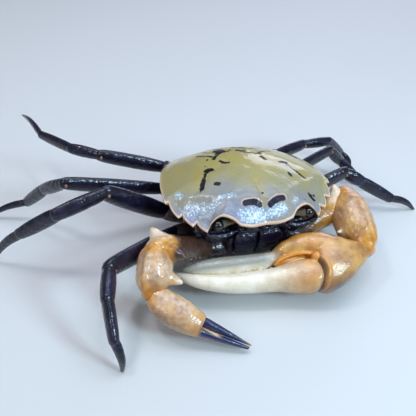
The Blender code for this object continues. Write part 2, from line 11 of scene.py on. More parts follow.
import bmesh
import bpy
from mathutils import Matrix, Vector, kdtree, noise


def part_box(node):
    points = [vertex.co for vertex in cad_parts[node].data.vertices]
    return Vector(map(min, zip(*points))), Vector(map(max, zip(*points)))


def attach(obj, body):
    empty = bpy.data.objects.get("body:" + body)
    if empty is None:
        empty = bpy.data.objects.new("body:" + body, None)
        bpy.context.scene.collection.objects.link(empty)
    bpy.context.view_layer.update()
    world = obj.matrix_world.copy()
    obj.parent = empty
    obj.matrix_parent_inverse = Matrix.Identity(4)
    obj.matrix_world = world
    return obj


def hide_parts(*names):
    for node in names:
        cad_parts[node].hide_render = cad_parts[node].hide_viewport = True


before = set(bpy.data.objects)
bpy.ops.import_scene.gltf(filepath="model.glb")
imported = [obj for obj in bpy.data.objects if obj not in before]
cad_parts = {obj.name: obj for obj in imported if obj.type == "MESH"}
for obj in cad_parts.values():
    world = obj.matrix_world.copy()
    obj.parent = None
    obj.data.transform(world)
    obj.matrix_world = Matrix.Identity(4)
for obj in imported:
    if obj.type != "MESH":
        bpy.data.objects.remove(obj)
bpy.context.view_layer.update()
print("solids:", len(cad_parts), "nodes")

# %% [markdown]
# ## Millimetres about the shell
#
# A crab is small, so its sizes are easiest to read in millimetres, measured from its own
# shell: x to its left, y to its back and z up from the top of the dome. The shell's solid
# says where that frame stands in the world, so nothing here has to be fitted by eye.

# %% The crab's own frame
MM = 0.001
GROUND = -24.4
FRONT_TIP_Y = 0.7
shell_low, shell_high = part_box("carapace")
ORIGIN = Vector(((shell_low.x + shell_high.x) / 2, shell_low.y - FRONT_TIP_Y * MM, -GROUND * MM))
TO_WORLD = Matrix.Translation(ORIGIN) @ Matrix.Scale(MM, 4)
SIDES = {"left": 1, "right": -1}
print("origin of the crab's frame, m:", [round(v, 5) for v in ORIGIN])


def put_in_scene(name, data):
    obj = bpy.data.objects.new(name, data)
    bpy.context.scene.collection.objects.link(obj)
    return obj


# %% [markdown]
# ## The camera
#
# The viewpoint comes from the shell's outline and landmarks: above the crab's right front,
# forty degrees up. Only the angles, the distance and the focal length matter, so they are
# named here and turned into one matrix whose columns are the camera's right, up and back.

# %% Camera
AZIMUTH, ELEVATION, ROLL = (math.radians(a) for a in (-21.646, 39.981, 6.52))
LOOK_AT = Vector((-10.12, 12.6, -9.41))
DISTANCE = 137.0
FOCAL_PIXELS = 571.5
FRAME_PIXELS = 416
SENSOR_WIDTH = 36.0

back = Vector((
    math.sin(AZIMUTH) * math.cos(ELEVATION), -math.cos(AZIMUTH) * math.cos(ELEVATION), math.sin(ELEVATION)
))
level = Vector((math.cos(AZIMUTH), math.sin(AZIMUTH), 0))
above = back.cross(level)
right = level * math.cos(ROLL) + above * math.sin(ROLL)
up = above * math.cos(ROLL) - level * math.sin(ROLL)
view_data = bpy.data.cameras.new("view")
view_data.sensor_width = SENSOR_WIDTH
view_data.lens = view_data.sensor_width * FOCAL_PIXELS / FRAME_PIXELS
view_data.clip_start = 5 * MM
view = put_in_scene("view", view_data)
view.matrix_world = Matrix((right, up, back)).transposed().to_4x4()
view.location = TO_WORLD @ (LOOK_AT + back * DISTANCE)
bpy.context.scene.camera = view
print("lens, mm:", round(view_data.lens, 2))

# %% [markdown]
# ## Colours and nodes
#
# Colours are written as sRGB hex, the way a picture shows them, and one function makes them
# linear for the shader. A second one adds a node, sets it and links it. A third lays colours
# over each other, each by its own share, as glazes are laid on a model. Every finish below is
# built from these, so what a material does can be read from top to bottom. Two nodes come back
# all the time. TexNoise is given the place, nothing, the scale and the detail. MapRange is
# given a value, the two values that it runs between, and what it gives at each of them.

# %% Colour and node helpers
WATER_IOR = 1.33
FLESH_RADIUS = (1.0, 0.45, 0.25)  # red light goes furthest into flesh
FLESH_DEPTH = 0.8 * MM


def linear(code):
    """The shader's colour for an sRGB hex code."""
    channels = [int(code[i : i + 2], 16) / 255 for i in (1, 3, 5)]
    return (*[c / 12.92 if c <= 0.04045 else ((c + 0.055) / 1.055) ** 2.4 for c in channels], 1.0)


def add(tree, kind, *values, out=0, **settings):
    """Adds a node and gives one of its outputs. The values go to its sockets in their order: an
    output is linked, None leaves a socket as it is, and any other value is set on it."""
    node = tree.nodes.new("ShaderNode" + kind)
    for key, value in settings.items():
        setattr(node, key, value)
    for socket, value in zip(node.inputs, values):
        if isinstance(value, bpy.types.NodeSocket):
            tree.links.new(value, socket)
        elif value is not None:
            socket.default_value = value
    return node.outputs[out]


def laid_over(tree, base, *layers):
    """The base colour with others laid over it in order. Each is a share and a colour."""
    for share, layer in layers:
        lower, upper = (linear(c) if isinstance(c, str) else c for c in (base, layer))
        base = add(tree, "Mix", share, *[None] * 5, lower, upper, out=2, data_type="RGBA")
    return base


def start_finish(name, roughness, ior, coat=0.0, coat_roughness=0.05, flesh=0.0, specular=0.5):
    """A material, its tree, its shader and the place on the crab in millimetres."""
    made = bpy.data.materials.new(name)
    made.use_nodes = True
    tree = made.node_tree
    shader = tree.nodes["Principled BSDF"]
    values = {
        "Roughness": roughness,
        "IOR": ior,
        "Specular IOR Level": specular,
        "Coat Weight": coat,
        "Coat Roughness": coat_roughness,
        "Coat IOR": WATER_IOR,
        "Subsurface Weight": flesh,
        "Subsurface Radius": FLESH_RADIUS,
        "Subsurface Scale": FLESH_DEPTH,
    }
    for key, value in values.items():
        shader.inputs[key].default_value = value
    objects = add(tree, "TexCoord", out="Object")
    return made, tree, shader, add(tree, "VectorMath", objects, None, None, 1 / MM, operation="SCALE")


def end_finish(tree, shader, place, colour, size, depth, where=1.0):
    """Links the colour, and grains under the water film, which break up its highlights. The real
    grain of a crab's skin is too fine to show here, so it is drawn about a millimetre wide."""
    tree.links.new(colour, shader.inputs["Base Color"])
    if not depth:
        return
    grains = add(tree, "TexNoise", place, None, 1 / size, 2.0)
    height = add(tree, "Math", grains, where, operation="MULTIPLY")
    normal = add(tree, "Bump", 1.0, depth * MM, None, height)
    for key in ("Normal", "Coat Normal"):
        tree.links.new(normal, shader.inputs[key])


# %% [markdown]
# ## Floor and light
#
# The floor is plain pale paper. All the lamps are soft and cool, because a wet shell shows the
# lamps themselves. Two wide ones overhead give the long milky reflections on the dome, three
# small ones put a bright spark on each wet edge, and two more at the back right and the front
# left pick the dark legs out. A dim sky keeps the shadows from going flat black.

# %% Floor and lamps
FLOOR_REACH = 3.0
LAMP_AIM = Vector((0, 8, -12))
LAMPS = {  # place and width in millimetres, watts, colour
    "overhead": ((95, 10, 300), 210, 0.36, "#d3e0ff"),
    "sheen": ((0, 40, 300), 440, 0.46, "#e4ecff"),
    "sparkle_top": ((-10, 20, 295), 30, 0.09, "#e8f6ff"),
    "sparkle_left": ((-135, 38, 271), 40, 0.16, "#f4faff"),
    "sparkle_front": ((149, -199, 160), 70, 0.6, "#c8ecff"),
    "back_right": ((250, 330, 130), 200, 0.4, "#dce0ff"),
    "front_left": ((-220, -200, 190), 90, 0.2, "#f2f0ff"),
}
SKY_COLOUR, SKY_STRENGTH = "#dfe6f0", 0.3

floor_mesh = bmesh.new()
bmesh.ops.create_grid(floor_mesh, x_segments=1, y_segments=1, size=FLOOR_REACH)
floor_data = bpy.data.meshes.new("floor")
floor_mesh.to_mesh(floor_data)
floor_mesh.free()
# matte paper: an even pale tone with no reflections
paper, _, paper_shader, _ = start_finish("matte_paper", 0.9, 1.45)
paper_shader.inputs["Base Color"].default_value = linear("#cfcfcd")
floor_data.materials.append(paper)
floor = put_in_scene("floor", floor_data)

for name, (place, width, watts, colour) in LAMPS.items():
    data = bpy.data.lights.new(name, "AREA")
    data.size = width * MM
    data.energy = watts
    data.color = linear(colour)[:3]
    lamp = put_in_scene(name, data)
    lamp.location = TO_WORLD @ Vector(place)
    lamp.rotation_euler = (TO_WORLD @ LAMP_AIM - lamp.location).to_track_quat("-Z", "Y").to_euler()
world = bpy.data.worlds.new("sky")
world.use_nodes = True
sky = world.node_tree.nodes["Background"].inputs
sky["Color"].default_value = linear(SKY_COLOUR)
sky["Strength"].default_value = SKY_STRENGTH
bpy.context.scene.world = world
bpy.context.scene.view_settings.view_transform = "Standard"
print("lamps:", len(LAMPS))

# %% [markdown]
# ## Making a piece
#
# Every plate of the crab is a tube or a bowl: a ring that is drawn along the body while it
# swells and shrinks. So one helper starts from a circle, extrudes its edge once for each
# station and closes both ends. It also writes down how far along each ring lies, because the
# colours of a crab change from the root of a limb to its tip.

# %% Curves, rings and pieces
def smooth_path(points, count):
    """Points at even steps along a curve through the given ones, both ends included."""
    points = [Vector(p) for p in points]
    ends = [2 * points[0] - points[1], *points, 2 * points[-1] - points[-2]]
    path = []
    for step in range(count):
        place = step * (len(points) - 1) / (count - 1)
        index = min(int(place), len(points) - 2)
        t = place - index
        a, b, c, d = ends[index : index + 4]
        bend = 2 * a - 5 * b + 4 * c - d
        twist = 3 * b - a - 3 * c + d
        path.append(0.5 * (2 * b + (c - a) * t + bend * t**2 + twist * t**3))
    return path


def ways_along(path):
    """The direction of the path at each of its points."""
    return [b - a for a, b in zip(path[:1] + path[:-1], path[1:] + path[-1:])]


def station(centre, along, upward, width, height):
    """Where a unit circle goes: its plane stands across the limb."""
    along = along.normalized()
    upward = (upward - along * upward.dot(along)).normalized()
    side = along.cross(upward)
    columns = (side * max(width, 0.01), upward * max(height, 0.01), along)
    return Matrix.Translation(centre) @ Matrix(columns).transposed().to_4x4()


def rounded(power):
    """Bends a unit circle towards a square below 1, and towards a pointed oval above 1."""

    def bend(co):
        x, y = (math.copysign(abs(v) ** power, v) for v in co[:2])
        return Vector((x, y, 0))

    return bend


def sweep(stations, sides=20, bend=rounded(1.0), reaches=None):
    """A closed skin through the stations, extruded ring by ring from a circle."""
    bm = bmesh.new()
    reach = bm.verts.layers.float.new("reach")
    ring = bmesh.ops.create_circle(bm, segments=sides, radius=1.0)["verts"]
    for vert in ring:
        vert.co = bend(vert.co)
    edges = bm.edges[:]
    reaches = reaches or [i / (len(stations) - 1) for i in range(len(stations))]
    at = Matrix.Identity(4)
    for number, target in enumerate(stations):
        if number:
            grown = bmesh.ops.extrude_edge_only(bm, edges=edges)["geom"]
            ring = [g for g in grown if isinstance(g, bmesh.types.BMVert)]
            edges = [g for g in grown if isinstance(g, bmesh.types.BMEdge)]
        bmesh.ops.transform(bm, matrix=target @ at.inverted(), verts=ring)
        at = target
        for vert in ring:
            vert[reach] = reaches[number]
    bmesh.ops.holes_fill(bm, edges=bm.edges)
    bmesh.ops.recalc_face_normals(bm, faces=bm.faces)
    return bm


print("a straight path of 3 points:", [tuple(p) for p in smooth_path(((0, 0, 0), (2, 0, 0)), 3)])

# %% [markdown]
# ## Cutting and placing
#
# A toe that carries weight is worn flat, so a skin can be cut level, as with a knife. Then
# every finished mesh goes into the world the same way: it is turned from millimetres to
# metres, gets one finish, rides on the crab and hides the solid that it is drawn for.

# %% Cutting and placing
def trim(bm, point, normal):
    """Cuts off what lies past the plane and closes the cut."""
    everything = bm.verts[:] + bm.edges[:] + bm.faces[:]
    cut = bmesh.ops.bisect_plane(
        bm, geom=everything, dist=1e-5, plane_co=point, plane_no=normal, clear_outer=True
    )
    edges = [e for e in cut["geom_cut"] if isinstance(e, bmesh.types.BMEdge)]
    bmesh.ops.holes_fill(bm, edges=edges)


def piece(bm, name, finish, nodes=(), smooth=1):
    """Puts a finished mesh in the world as a piece that rides on the crab."""
    bmesh.ops.transform(bm, matrix=TO_WORLD, verts=bm.verts)
    mesh = bpy.data.meshes.new(name)
    bm.to_mesh(mesh)
    bm.free()
    mesh.shade_smooth()
    mesh.materials.append(finish)
    obj = put_in_scene(name, mesh)
    if smooth:
        rounding = obj.modifiers.new("rounding", "SUBSURF")
        rounding.levels = rounding.render_levels = smooth
    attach(obj, "root")
    if nodes:
        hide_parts(*nodes)
    return obj


# %% [markdown]
# ## The outline of the shell
#
# The shell's edge runs from the front lobe round the eye socket, over four forward-pointing
# teeth and down the flank. Drawn as one half and mirrored, it stays symmetric, as the shell of
# a crab is. A second line runs through the roots of the teeth, because only the rim has teeth:
# the dome behind them is smooth.

# %% Outline
HALF = 21.0
FRONT_EDGE = ((0.0, 1.3, -6.4), (3.6, 0.7, -6.0), (6.5, 1.0, -5.3))
ORBIT_EDGE = ((6.5, 1.0, -5.3), (8.2, 2.7, -4.4), (10.6, 3.3, -3.8), (12.6, 3.0, -5.2), (13.8, 2.0, -6.9))
TEETH = ((13.8, 2.0, -6.9), (16.5, 4.2, -6.7), (19.1, 7.1, -6.2), (HALF, 11.6, -5.4))
NOTCHES = ((15.4, 5.1, -6.6), (18.0, 7.9, -6.2), (20.2, 12.1, -5.6))
TEETH_BASE = ((13.6, 2.6), (15.6, 5.0), (18.1, 7.8), (20.3, 12.0), (20.8, 13.4))
FLANK_EDGE = (
    (HALF, 14.4, -5.6), (20.4, 19.4, -6.1), (18.2, 26.3, -7.3), (13.6, 31.9, -8.7), (8.3, 34.4, -9.4),
    (0.0, 35.0, -9.6),
)
SHELL_MIDDLE = Vector((0, 15.0, 0))
TOOTH_BULGE, LAST_BULGE = Vector((0.35, -0.1, 0.0)), Vector((0.15, 0, 0))
FRONT_COUNT, ORBIT_COUNT, TOOTH_COUNT, FLANK_COUNT = 15, 33, 12, 64  # points along each stretch
AHEAD_SHARES = (0, 0.2, 0.45, 0.7, 0.88)  # from a notch to the next tip, closer at the tip


def half_edges():
    """The left half of the rim with its teeth, and of the smooth line through their roots."""
    front = smooth_path(FRONT_EDGE, FRONT_COUNT)[:-1]
    orbit = smooth_path(ORBIT_EDGE, ORBIT_COUNT)[:-1]
    teeth = []
    for tip, notch, ahead in zip(TEETH, NOTCHES, TEETH[1:]):
        tip, notch, ahead = Vector(tip), Vector(notch), Vector(ahead)
        for step in range(TOOTH_COUNT):
            t = step / TOOTH_COUNT
            teeth.append(tip.lerp(notch, t) + TOOTH_BULGE * 4 * t * (1 - t))
        teeth += [notch.lerp(ahead, t) for t in AHEAD_SHARES]
    teeth.append(Vector(TEETH[-1]))
    teeth.append(Vector(TEETH[-1]).lerp(Vector(FLANK_EDGE[0]), 0.5) + LAST_BULGE)
    flank = smooth_path(FLANK_EDGE, FLANK_COUNT)
    roots = smooth_path([(*p, 0) for p in TEETH_BASE], len(teeth))
    for root, tooth in zip(roots, teeth):
        root.z = tooth.z
    return front + orbit + teeth + flank, front + orbit + roots + flank


def both_sides(half):
    """The whole ring from its left half: the points on the middle line are kept once."""
    return half + [Vector((-p.x, p.y, p.z)) for p in half[-2:0:-1]]


rim, roots = (both_sides(half) for half in half_edges())
print("points round the shell:", len(rim))

# %% [markdown]
# ## Relief and markings
#
# The dome isn't plain. A shallow groove shaped like an H parts the stomach from the heart and
# gills, a low ridge crosses the brow, and two dark crescents lie in front of it. The black
# blotches sit where muscles hold on to the inside of the shell, so they come in pairs. Each is
# a stroke here: a few points and a radius. Strokes give depths for the mesh and distances for
# the material, so a blotch has a crisp edge without a fine mesh.

# %% Strokes on the dome
GROOVES = (  # both sides: points, radius and depth
    (
        ((6.4, 24.6), (4.5, 22.6), (4.2, 18.5), (6.6, 16.6), (9.6, 16.4), (11.6, 13.4), (13.6, 11.4)),
        0.9, 0.16,
    ),
    (((4.2, 18.5), (2.0, 16.8), (0.0, 16.2)), 1.1, 0.08),
    (((0.0, 3.2), (0.0, 6.0), (0.0, 9.5)), 0.7, 0.16), (((15.0, 8.6), (12.5, 8.0)), 1.2, 0.2),
)
CRESCENTS = {
    1: ((1.5, 3.95), (2.7, 4.6), (3.9, 4.95), (5.1, 5.0)),
    -1: ((-0.95, 4.3), (-2.2, 4.85), (-3.4, 5.0), (-4.4, 4.9)),
}
CRESCENT_RADIUS = 0.62
RIDGE = ((1.2, 5.6), (3.4, 6.3), (6.2, 6.3), (9.4, 7.7), (12.6, 9.6), (16.8, 11.6))
CRESCENT_DEPTH, RIDGE_HEIGHT, RIDGE_RADIUS = 0.06, 0.24, 0.9
BROW_REAR, BROW_FADE = 9.5, 4
BROW_LUMPS = ((3, 0.62, 0.16), (5, 1.7, 0.07))  # level in the noise, scale per mm, height in mm
DOME_LUMPS = ((0, 0.3, 0.1), (7, 1.1, 0.02))
MARKS = (  # points and radius, where the dark blotches of this crab lie
    (((-9.9, 16.7), (-8.9, 16.6)), 0.75), (((-10.2, 16.0), (-11.2, 14.5), (-11.8, 13.1)), 0.4),
    (((-11.4, 14.0), (-12.6, 11.6)), 0.55), (((-9.3, 11.7), (-8.7, 11.3)), 0.5),
    (((-5.8, 19.0), (-5.2, 18.1), (-4.1, 17.9)), 0.45), (((-8.4, 21.4),), 0.34),
    (((-9.7, 20.5),), 0.18), (((-9.6, 18.5),), 0.24), (((-13.2, 11.2),), 0.2),
    (((-9.5, 25.5), (-8.8, 24.6), (-7.6, 23.4), (-6.8, 21.8)), 0.34),
    (((-7.6, 27.3), (-6.9, 26.8)), 0.3), (((-5.7, 29.2), (-4.5, 27.4), (-2.9, 25.8)), 0.35),
    (((-4.6, 25.3), (-3.7, 24.2)), 1.0), (((-5.0, 23.5), (-4.3, 23.7)), 0.8),
    (((-5.0, 22.8), (-6.9, 20.7)), 0.42), (((-3.3, 23.1), (-2.3, 23.4), (-1.4, 24.1)), 0.3),
    (((-0.5, 25.7), (0.7, 24.9), (2.7, 24.4)), 0.5), (((0.0, 23.3), (1.1, 22.8), (1.9, 22.5)), 0.3),
    (((3.6, 24.1), (5.8, 24.1)), 0.25), (((-0.5, 23.3), (1.2, 21.7), (3.3, 21.0), (5.5, 20.7)), 0.3),
    (((5.1, 21.3), (6.8, 22.1), (8.8, 22.7)), 0.28), (((4.8, 18.9), (5.3, 17.5)), 0.45),
    (((8.7, 19.1),), 0.28), (((9.0, 16.6), (10.6, 16.5)), 0.5),
    (((10.6, 15.9), (11.2, 14.0), (12.0, 13.1)), 0.22),
    (((12.0, 13.1), (12.8, 12.1), (13.5, 11.5)), 0.36), (((14.1, 11.1),), 0.24),
    (((9.3, 12.2), (9.7, 11.3)), 0.4), (((0.3, 6.5),), 0.26),
    (((13.0, 7.0), (12.9, 6.2), (13.8, 5.7)), 0.34), (((14.4, 6.9), (13.1, 6.1)), 0.24),
    (((10.8, 4.7),), 0.24),
)
STAINS = (  # yellow places, where the shell is thin over the gills and the heart
    ((13.3, 17.0), (13.3, 15.0), (13.7, 12.6)), ((6.0, 20.3), (7.0, 18.8)),
    ((0.0, 10.4), (0.1, 8.6), (0.2, 7.3)), ((0.3, 5.6), (0.25, 4.5)),
    ((-11.7, 18.0), (-12.6, 15.0), (-13.4, 12.7)),
)
# patches where painted glints and a painted cool sheen go into the shell's colour
GLINT_PATCHES = (  # points, radius and strength, where fine pale grains catch the light
    (((-5.4, 2.7), (-1.0, 2.4)), 1.9, 0.95), (((1.2, 2.7), (4.6, 2.9)), 1.6, 0.9),
    (((7.4, 4.1), (8.2, 4.3)), 1.0, 0.6), (((-16.4, 8.2), (-13.6, 6.6), (-11.4, 6.2)), 2.2, 0.62),
    (((-9.6, 7.6), (-6.4, 7.2)), 1.0, 0.7), (((-17.9, 13.0), (-17.4, 12.0)), 1.2, 0.8),
)


print("blotches:", len(MARKS), "stains:", len(STAINS), "patches of grains:", len(GLINT_PATCHES))

# %% [markdown]
# ## From strokes to relief
#
# What a stroke does depends only on how far away it is. A groove or a ridge falls off
# smoothly on both sides, as if pressed with a fingertip, and a little noise on top keeps the
# dome from looking cast. Noise is the cheap way to the small lumps of a grown thing.

# %% Relief
def distance_to(point, path):
    """How far a point on the plan lies from a stroke."""
    if len(path) == 1:
        return (point - Vector(path[0])).length
    best = 1e9
    for a, b in zip(path, path[1:]):
        a, b = Vector(a), Vector(b)
        t = max(0.0, min(1.0, (point - a).dot(b - a) / (b - a).length_squared))
        best = min(best, (point - a - (b - a) * t).length)
    return best


def glints_at(point, path, radius, strength):
    """Full strength on the stroke, fading to 0 at the radius."""
    return strength * max(0.0, 1 - (distance_to(point, path) / radius) ** 2)


def falloff(distance, radius, power=2):
    """1 on a stroke, and soon nothing past its radius."""
    return math.exp(-((distance / radius) ** power))


def lumps(x, y, rows):
    return sum(height * noise.noise(Vector((x, y, level)) * scale) for level, scale, height in rows)


def relief(x, y):
    """Height that ridges add and grooves take, in millimetres."""
    here = Vector((abs(x), y))
    total = -sum(depth * falloff(distance_to(here, path), radius) for path, radius, depth in GROOVES)
    crescent = distance_to(Vector((x, y)), CRESCENTS[1 if x > 0 else -1])
    total -= CRESCENT_DEPTH * falloff(crescent, 0.8, 4)
    total += RIDGE_HEIGHT * falloff(distance_to(here, RIDGE), RIDGE_RADIUS)
    brow = max(0.0, min(1.0, (BROW_REAR - y) / BROW_FADE))
    return total + brow * lumps(x, y, BROW_LUMPS) + lumps(x, y, DOME_LUMPS)


# %% [markdown]
# ## The shell
#
# The ring starts as a circle whose points are moved to the rim. From there it is extruded
# inwards and up over the dome, and outwards and down the wall that hangs under the rim. Near
# the rim the rings follow every corner of the outline, and towards the middle they forget
# them. Six numbers go with each point for the finish to read: how far it lies from the rim,
# how deep in a blotch and in a crescent, how far behind the brow, how far from a yellow stain,
# and how strong the painted glints and painted sheen are there.

# %% Shell mesh
RING_COUNT = 40
DOME_SHARES = [0.015 + 0.945 * (1 - (1 - t / RING_COUNT) ** 1.1) for t in range(RING_COUNT + 1)]
RIM_STEPS = (0.3, 0.55, 0.74, 0.88, 0.96)
RIM_BEAD = 0.13
DOME_ALONG, DOME_ACROSS, DOME_EDGE_POWER = 0.42, 0.74, 3.4
WALL = ((0.93, 0.05), (0.905, 0.12), (0.89, 0.2), (0.86, 0.35), (0.83, 0.55), (0.81, 0.75), (0.78, 1.0))
UNDER_RIM = ((0.0, 0.25), (0.04, 0.42), (0.12, 0.5), (0.5, 0.5))  # share of the way in, drop
RIM_THICKNESS = 0.9
SPLIT_Z, SPLIT_SLOPE = -14.4, 0.14
SHELL_NUMBERS = ("inland", "mark", "crescent", "brow", "stain", "grains")
EDGE_PARTS = 3
FAR_FROM_STAIN = 9
CORNER_REACH = 23  # how many points each way a corner is averaged over
RELIEF_FADE = 0.08
FACE_REAR, FACE_LENGTH = 13, 9  # y where the wall starts to lean in under the face, and for how long


def softened(ring, reach):
    """The ring with its corners averaged away."""
    count = len(ring)
    near = range(-reach, reach + 1)
    return [sum((ring[(i + k) % count] for k in near), Vector()) / len(near) for i in range(count)]


soft_roots = softened(roots, CORNER_REACH)
edge_tree = kdtree.KDTree(len(rim) * EDGE_PARTS)
for number, (p, following) in enumerate(zip(rim, rim[1:] + rim[:1])):
    for part in range(EDGE_PARTS):
        place = p.lerp(following, part / EDGE_PARTS)
        edge_tree.insert(Vector((place.x, place.y, 0)), number * EDGE_PARTS + part)
edge_tree.balance()


def on_dome(i, share):
    """A place on the dome: share 0 is the middle of the shell and 1 its rim."""
    toward = soft_roots[i].lerp(roots[i], share**4)
    p = SHELL_MIDDLE + (toward - SHELL_MIDDLE) * share
    out = toward - SHELL_MIDDLE
    parabola = DOME_ALONG + (DOME_ACROSS - DOME_ALONG) * abs(out.x) / out.to_2d().length
    p.z = toward.z * (parabola * share**2 + (1 - parabola) * share**DOME_EDGE_POWER)
    p.z += relief(p.x, p.y) * min(1.0, (1 - share) / RELIEF_FADE)
    return p


def on_wall(i, share, depth):
    """A place on the wall under the rim: depth 0 is its top and 1 its foot."""
    frontal = max(0.0, min(1.0, (FACE_REAR - roots[i].y) / FACE_LENGTH))
    share *= 1 - (0.08 + 0.11 * depth) * frontal
    toward = soft_roots[i].lerp(roots[i], share**4)
    p = SHELL_MIDDLE + (toward - SHELL_MIDDLE) * share
    top = rim[i].z - RIM_THICKNESS - 0.3
    p.z = top + (SPLIT_Z + SPLIT_SLOPE * (p.y - 5) - top) * depth
    return p


print("rings over the dome:", len(DOME_SHARES), "and down the wall:", len(WALL))

# %% [markdown]
# ## Growing the shell
#
# The rings are extruded by the operator that a modeller would use by hand. Each new ring
# keeps the order of the one before it, so its points can be sent straight to their places.

# %% Shell grown ring by ring
def ring_edges(ring):
    members = set(ring)
    return [e for e in {e for v in ring for e in v.link_edges} if members.issuperset(e.verts)]


def grow(bm, ring, places):
    """Extrudes the ring's edges once and moves the new points, in the ring's own order."""
    made = bmesh.ops.extrude_edge_only(bm, edges=ring_edges(ring))["geom"]
    new = {g for g in made if isinstance(g, bmesh.types.BMVert)}
    followed = [next(e.other_vert(v) for e in v.link_edges if e.other_vert(v) in new) for v in ring]
    for vert, place in zip(followed, places):
        vert.co = place
    return followed


def shell_numbers(co, top):
    """What the finish asks about a place, in the order of SHELL_NUMBERS."""
    _, index, inland = edge_tree.find(Vector((co.x, co.y, 0)))
    plan = co.to_2d()
    crescent = CRESCENTS[1 if plan.x > 0 else -1]
    brow = plan.y - sum(p[1] for p in crescent) / len(crescent)
    if not top:
        return -min(1.0, rim[index // EDGE_PARTS].z - co.z), -1, -1, brow, FAR_FROM_STAIN, 0
    mark = max(radius - distance_to(plan, path) for path, radius in MARKS)
    in_crescent = CRESCENT_RADIUS - distance_to(plan, crescent)
    stain = min(distance_to(plan, path) for path in STAINS)
    # how strong the painted glints and painted sheen are here
    grains = max(glints_at(plan, *row) for row in GLINT_PATCHES)
    return inland, max(-1, mark), max(-1, in_crescent), brow, stain, grains


def shell_mesh():
    bm = bmesh.new()
    layers = [bm.verts.layers.float.new(key) for key in SHELL_NUMBERS]
    indices = range(len(rim))
    bmesh.ops.create_circle(bm, segments=len(rim), radius=1.0)
    bm.verts.ensure_lookup_table()
    first = list(bm.verts)
    for vert, place in zip(first, rim):
        vert.co = place
    outer = [on_dome(i, DOME_SHARES[-1]) for i in indices]
    ring = first
    for step in RIM_STEPS[::-1]:
        bead = RIM_BEAD * math.sin(math.pi * step**3)
        ring = grow(bm, ring, [outer[i].lerp(rim[i], step) + Vector((0, 0, bead)) for i in indices])
    for share in DOME_SHARES[::-1]:
        ring = grow(bm, ring, [on_dome(i, share) for i in indices])
    bmesh.ops.holes_fill(bm, edges=ring_edges(ring))
    on_top = set(bm.verts)
    shelf = [on_wall(i, *WALL[0]) for i in indices]
    ring = first
    for inward, drop in UNDER_RIM:
        ring = grow(bm, ring, [rim[i].lerp(shelf[i], inward) - Vector((0, 0, drop)) for i in indices])
    for share, depth in WALL:
        ring = grow(bm, ring, [on_wall(i, share, depth) for i in indices])
    bmesh.ops.holes_fill(bm, edges=ring_edges(ring))
    bmesh.ops.recalc_face_normals(bm, faces=bm.faces)
    for vert in bm.verts:
        for layer, value in zip(layers, shell_numbers(vert.co, vert in on_top)):
            vert[layer] = value
    return bm


# %% [markdown]
# ## The finish of the shell
#
# Crab shell is chitin stiffened with lime, under a thin film of water. The chitin is a satin
# surface, and the water is a clear coat with almost no roughness: the eye sees soft colour
# under sharp reflections. The colour drifts from olive at the back to grey lilac at the brow,
# and the blue of the brow and of the crab's right front is partly painted sheen. There are
# clouds about 8 mm across, olive freckles and yellow stains, and on the brow and the crab's
# right front flank a cool band of painted sheen with pale flecks of painted glints. Blotches
# and crescents are pits of dark pigment, each crescent with a pale line behind it. The rim is
# cream, because the shell is thin there, and under it the body is dark purple brown, made
# darker still with painted shade.

# %% Shell finish
# the blue of the front tones is partly painted sheen
SHELL_TONES = ((0.1, "#8188a4"), (0.4, "#868893"), (0.62, "#8c8a84"), (0.9, "#979068"), (1.3, "#a59754"))
TONE_SPAN = 1.5
CLOUD_SIZE, SPECK_SIZE, GLINT_SIZE = 7.69, 0.625, 0.5  # mm


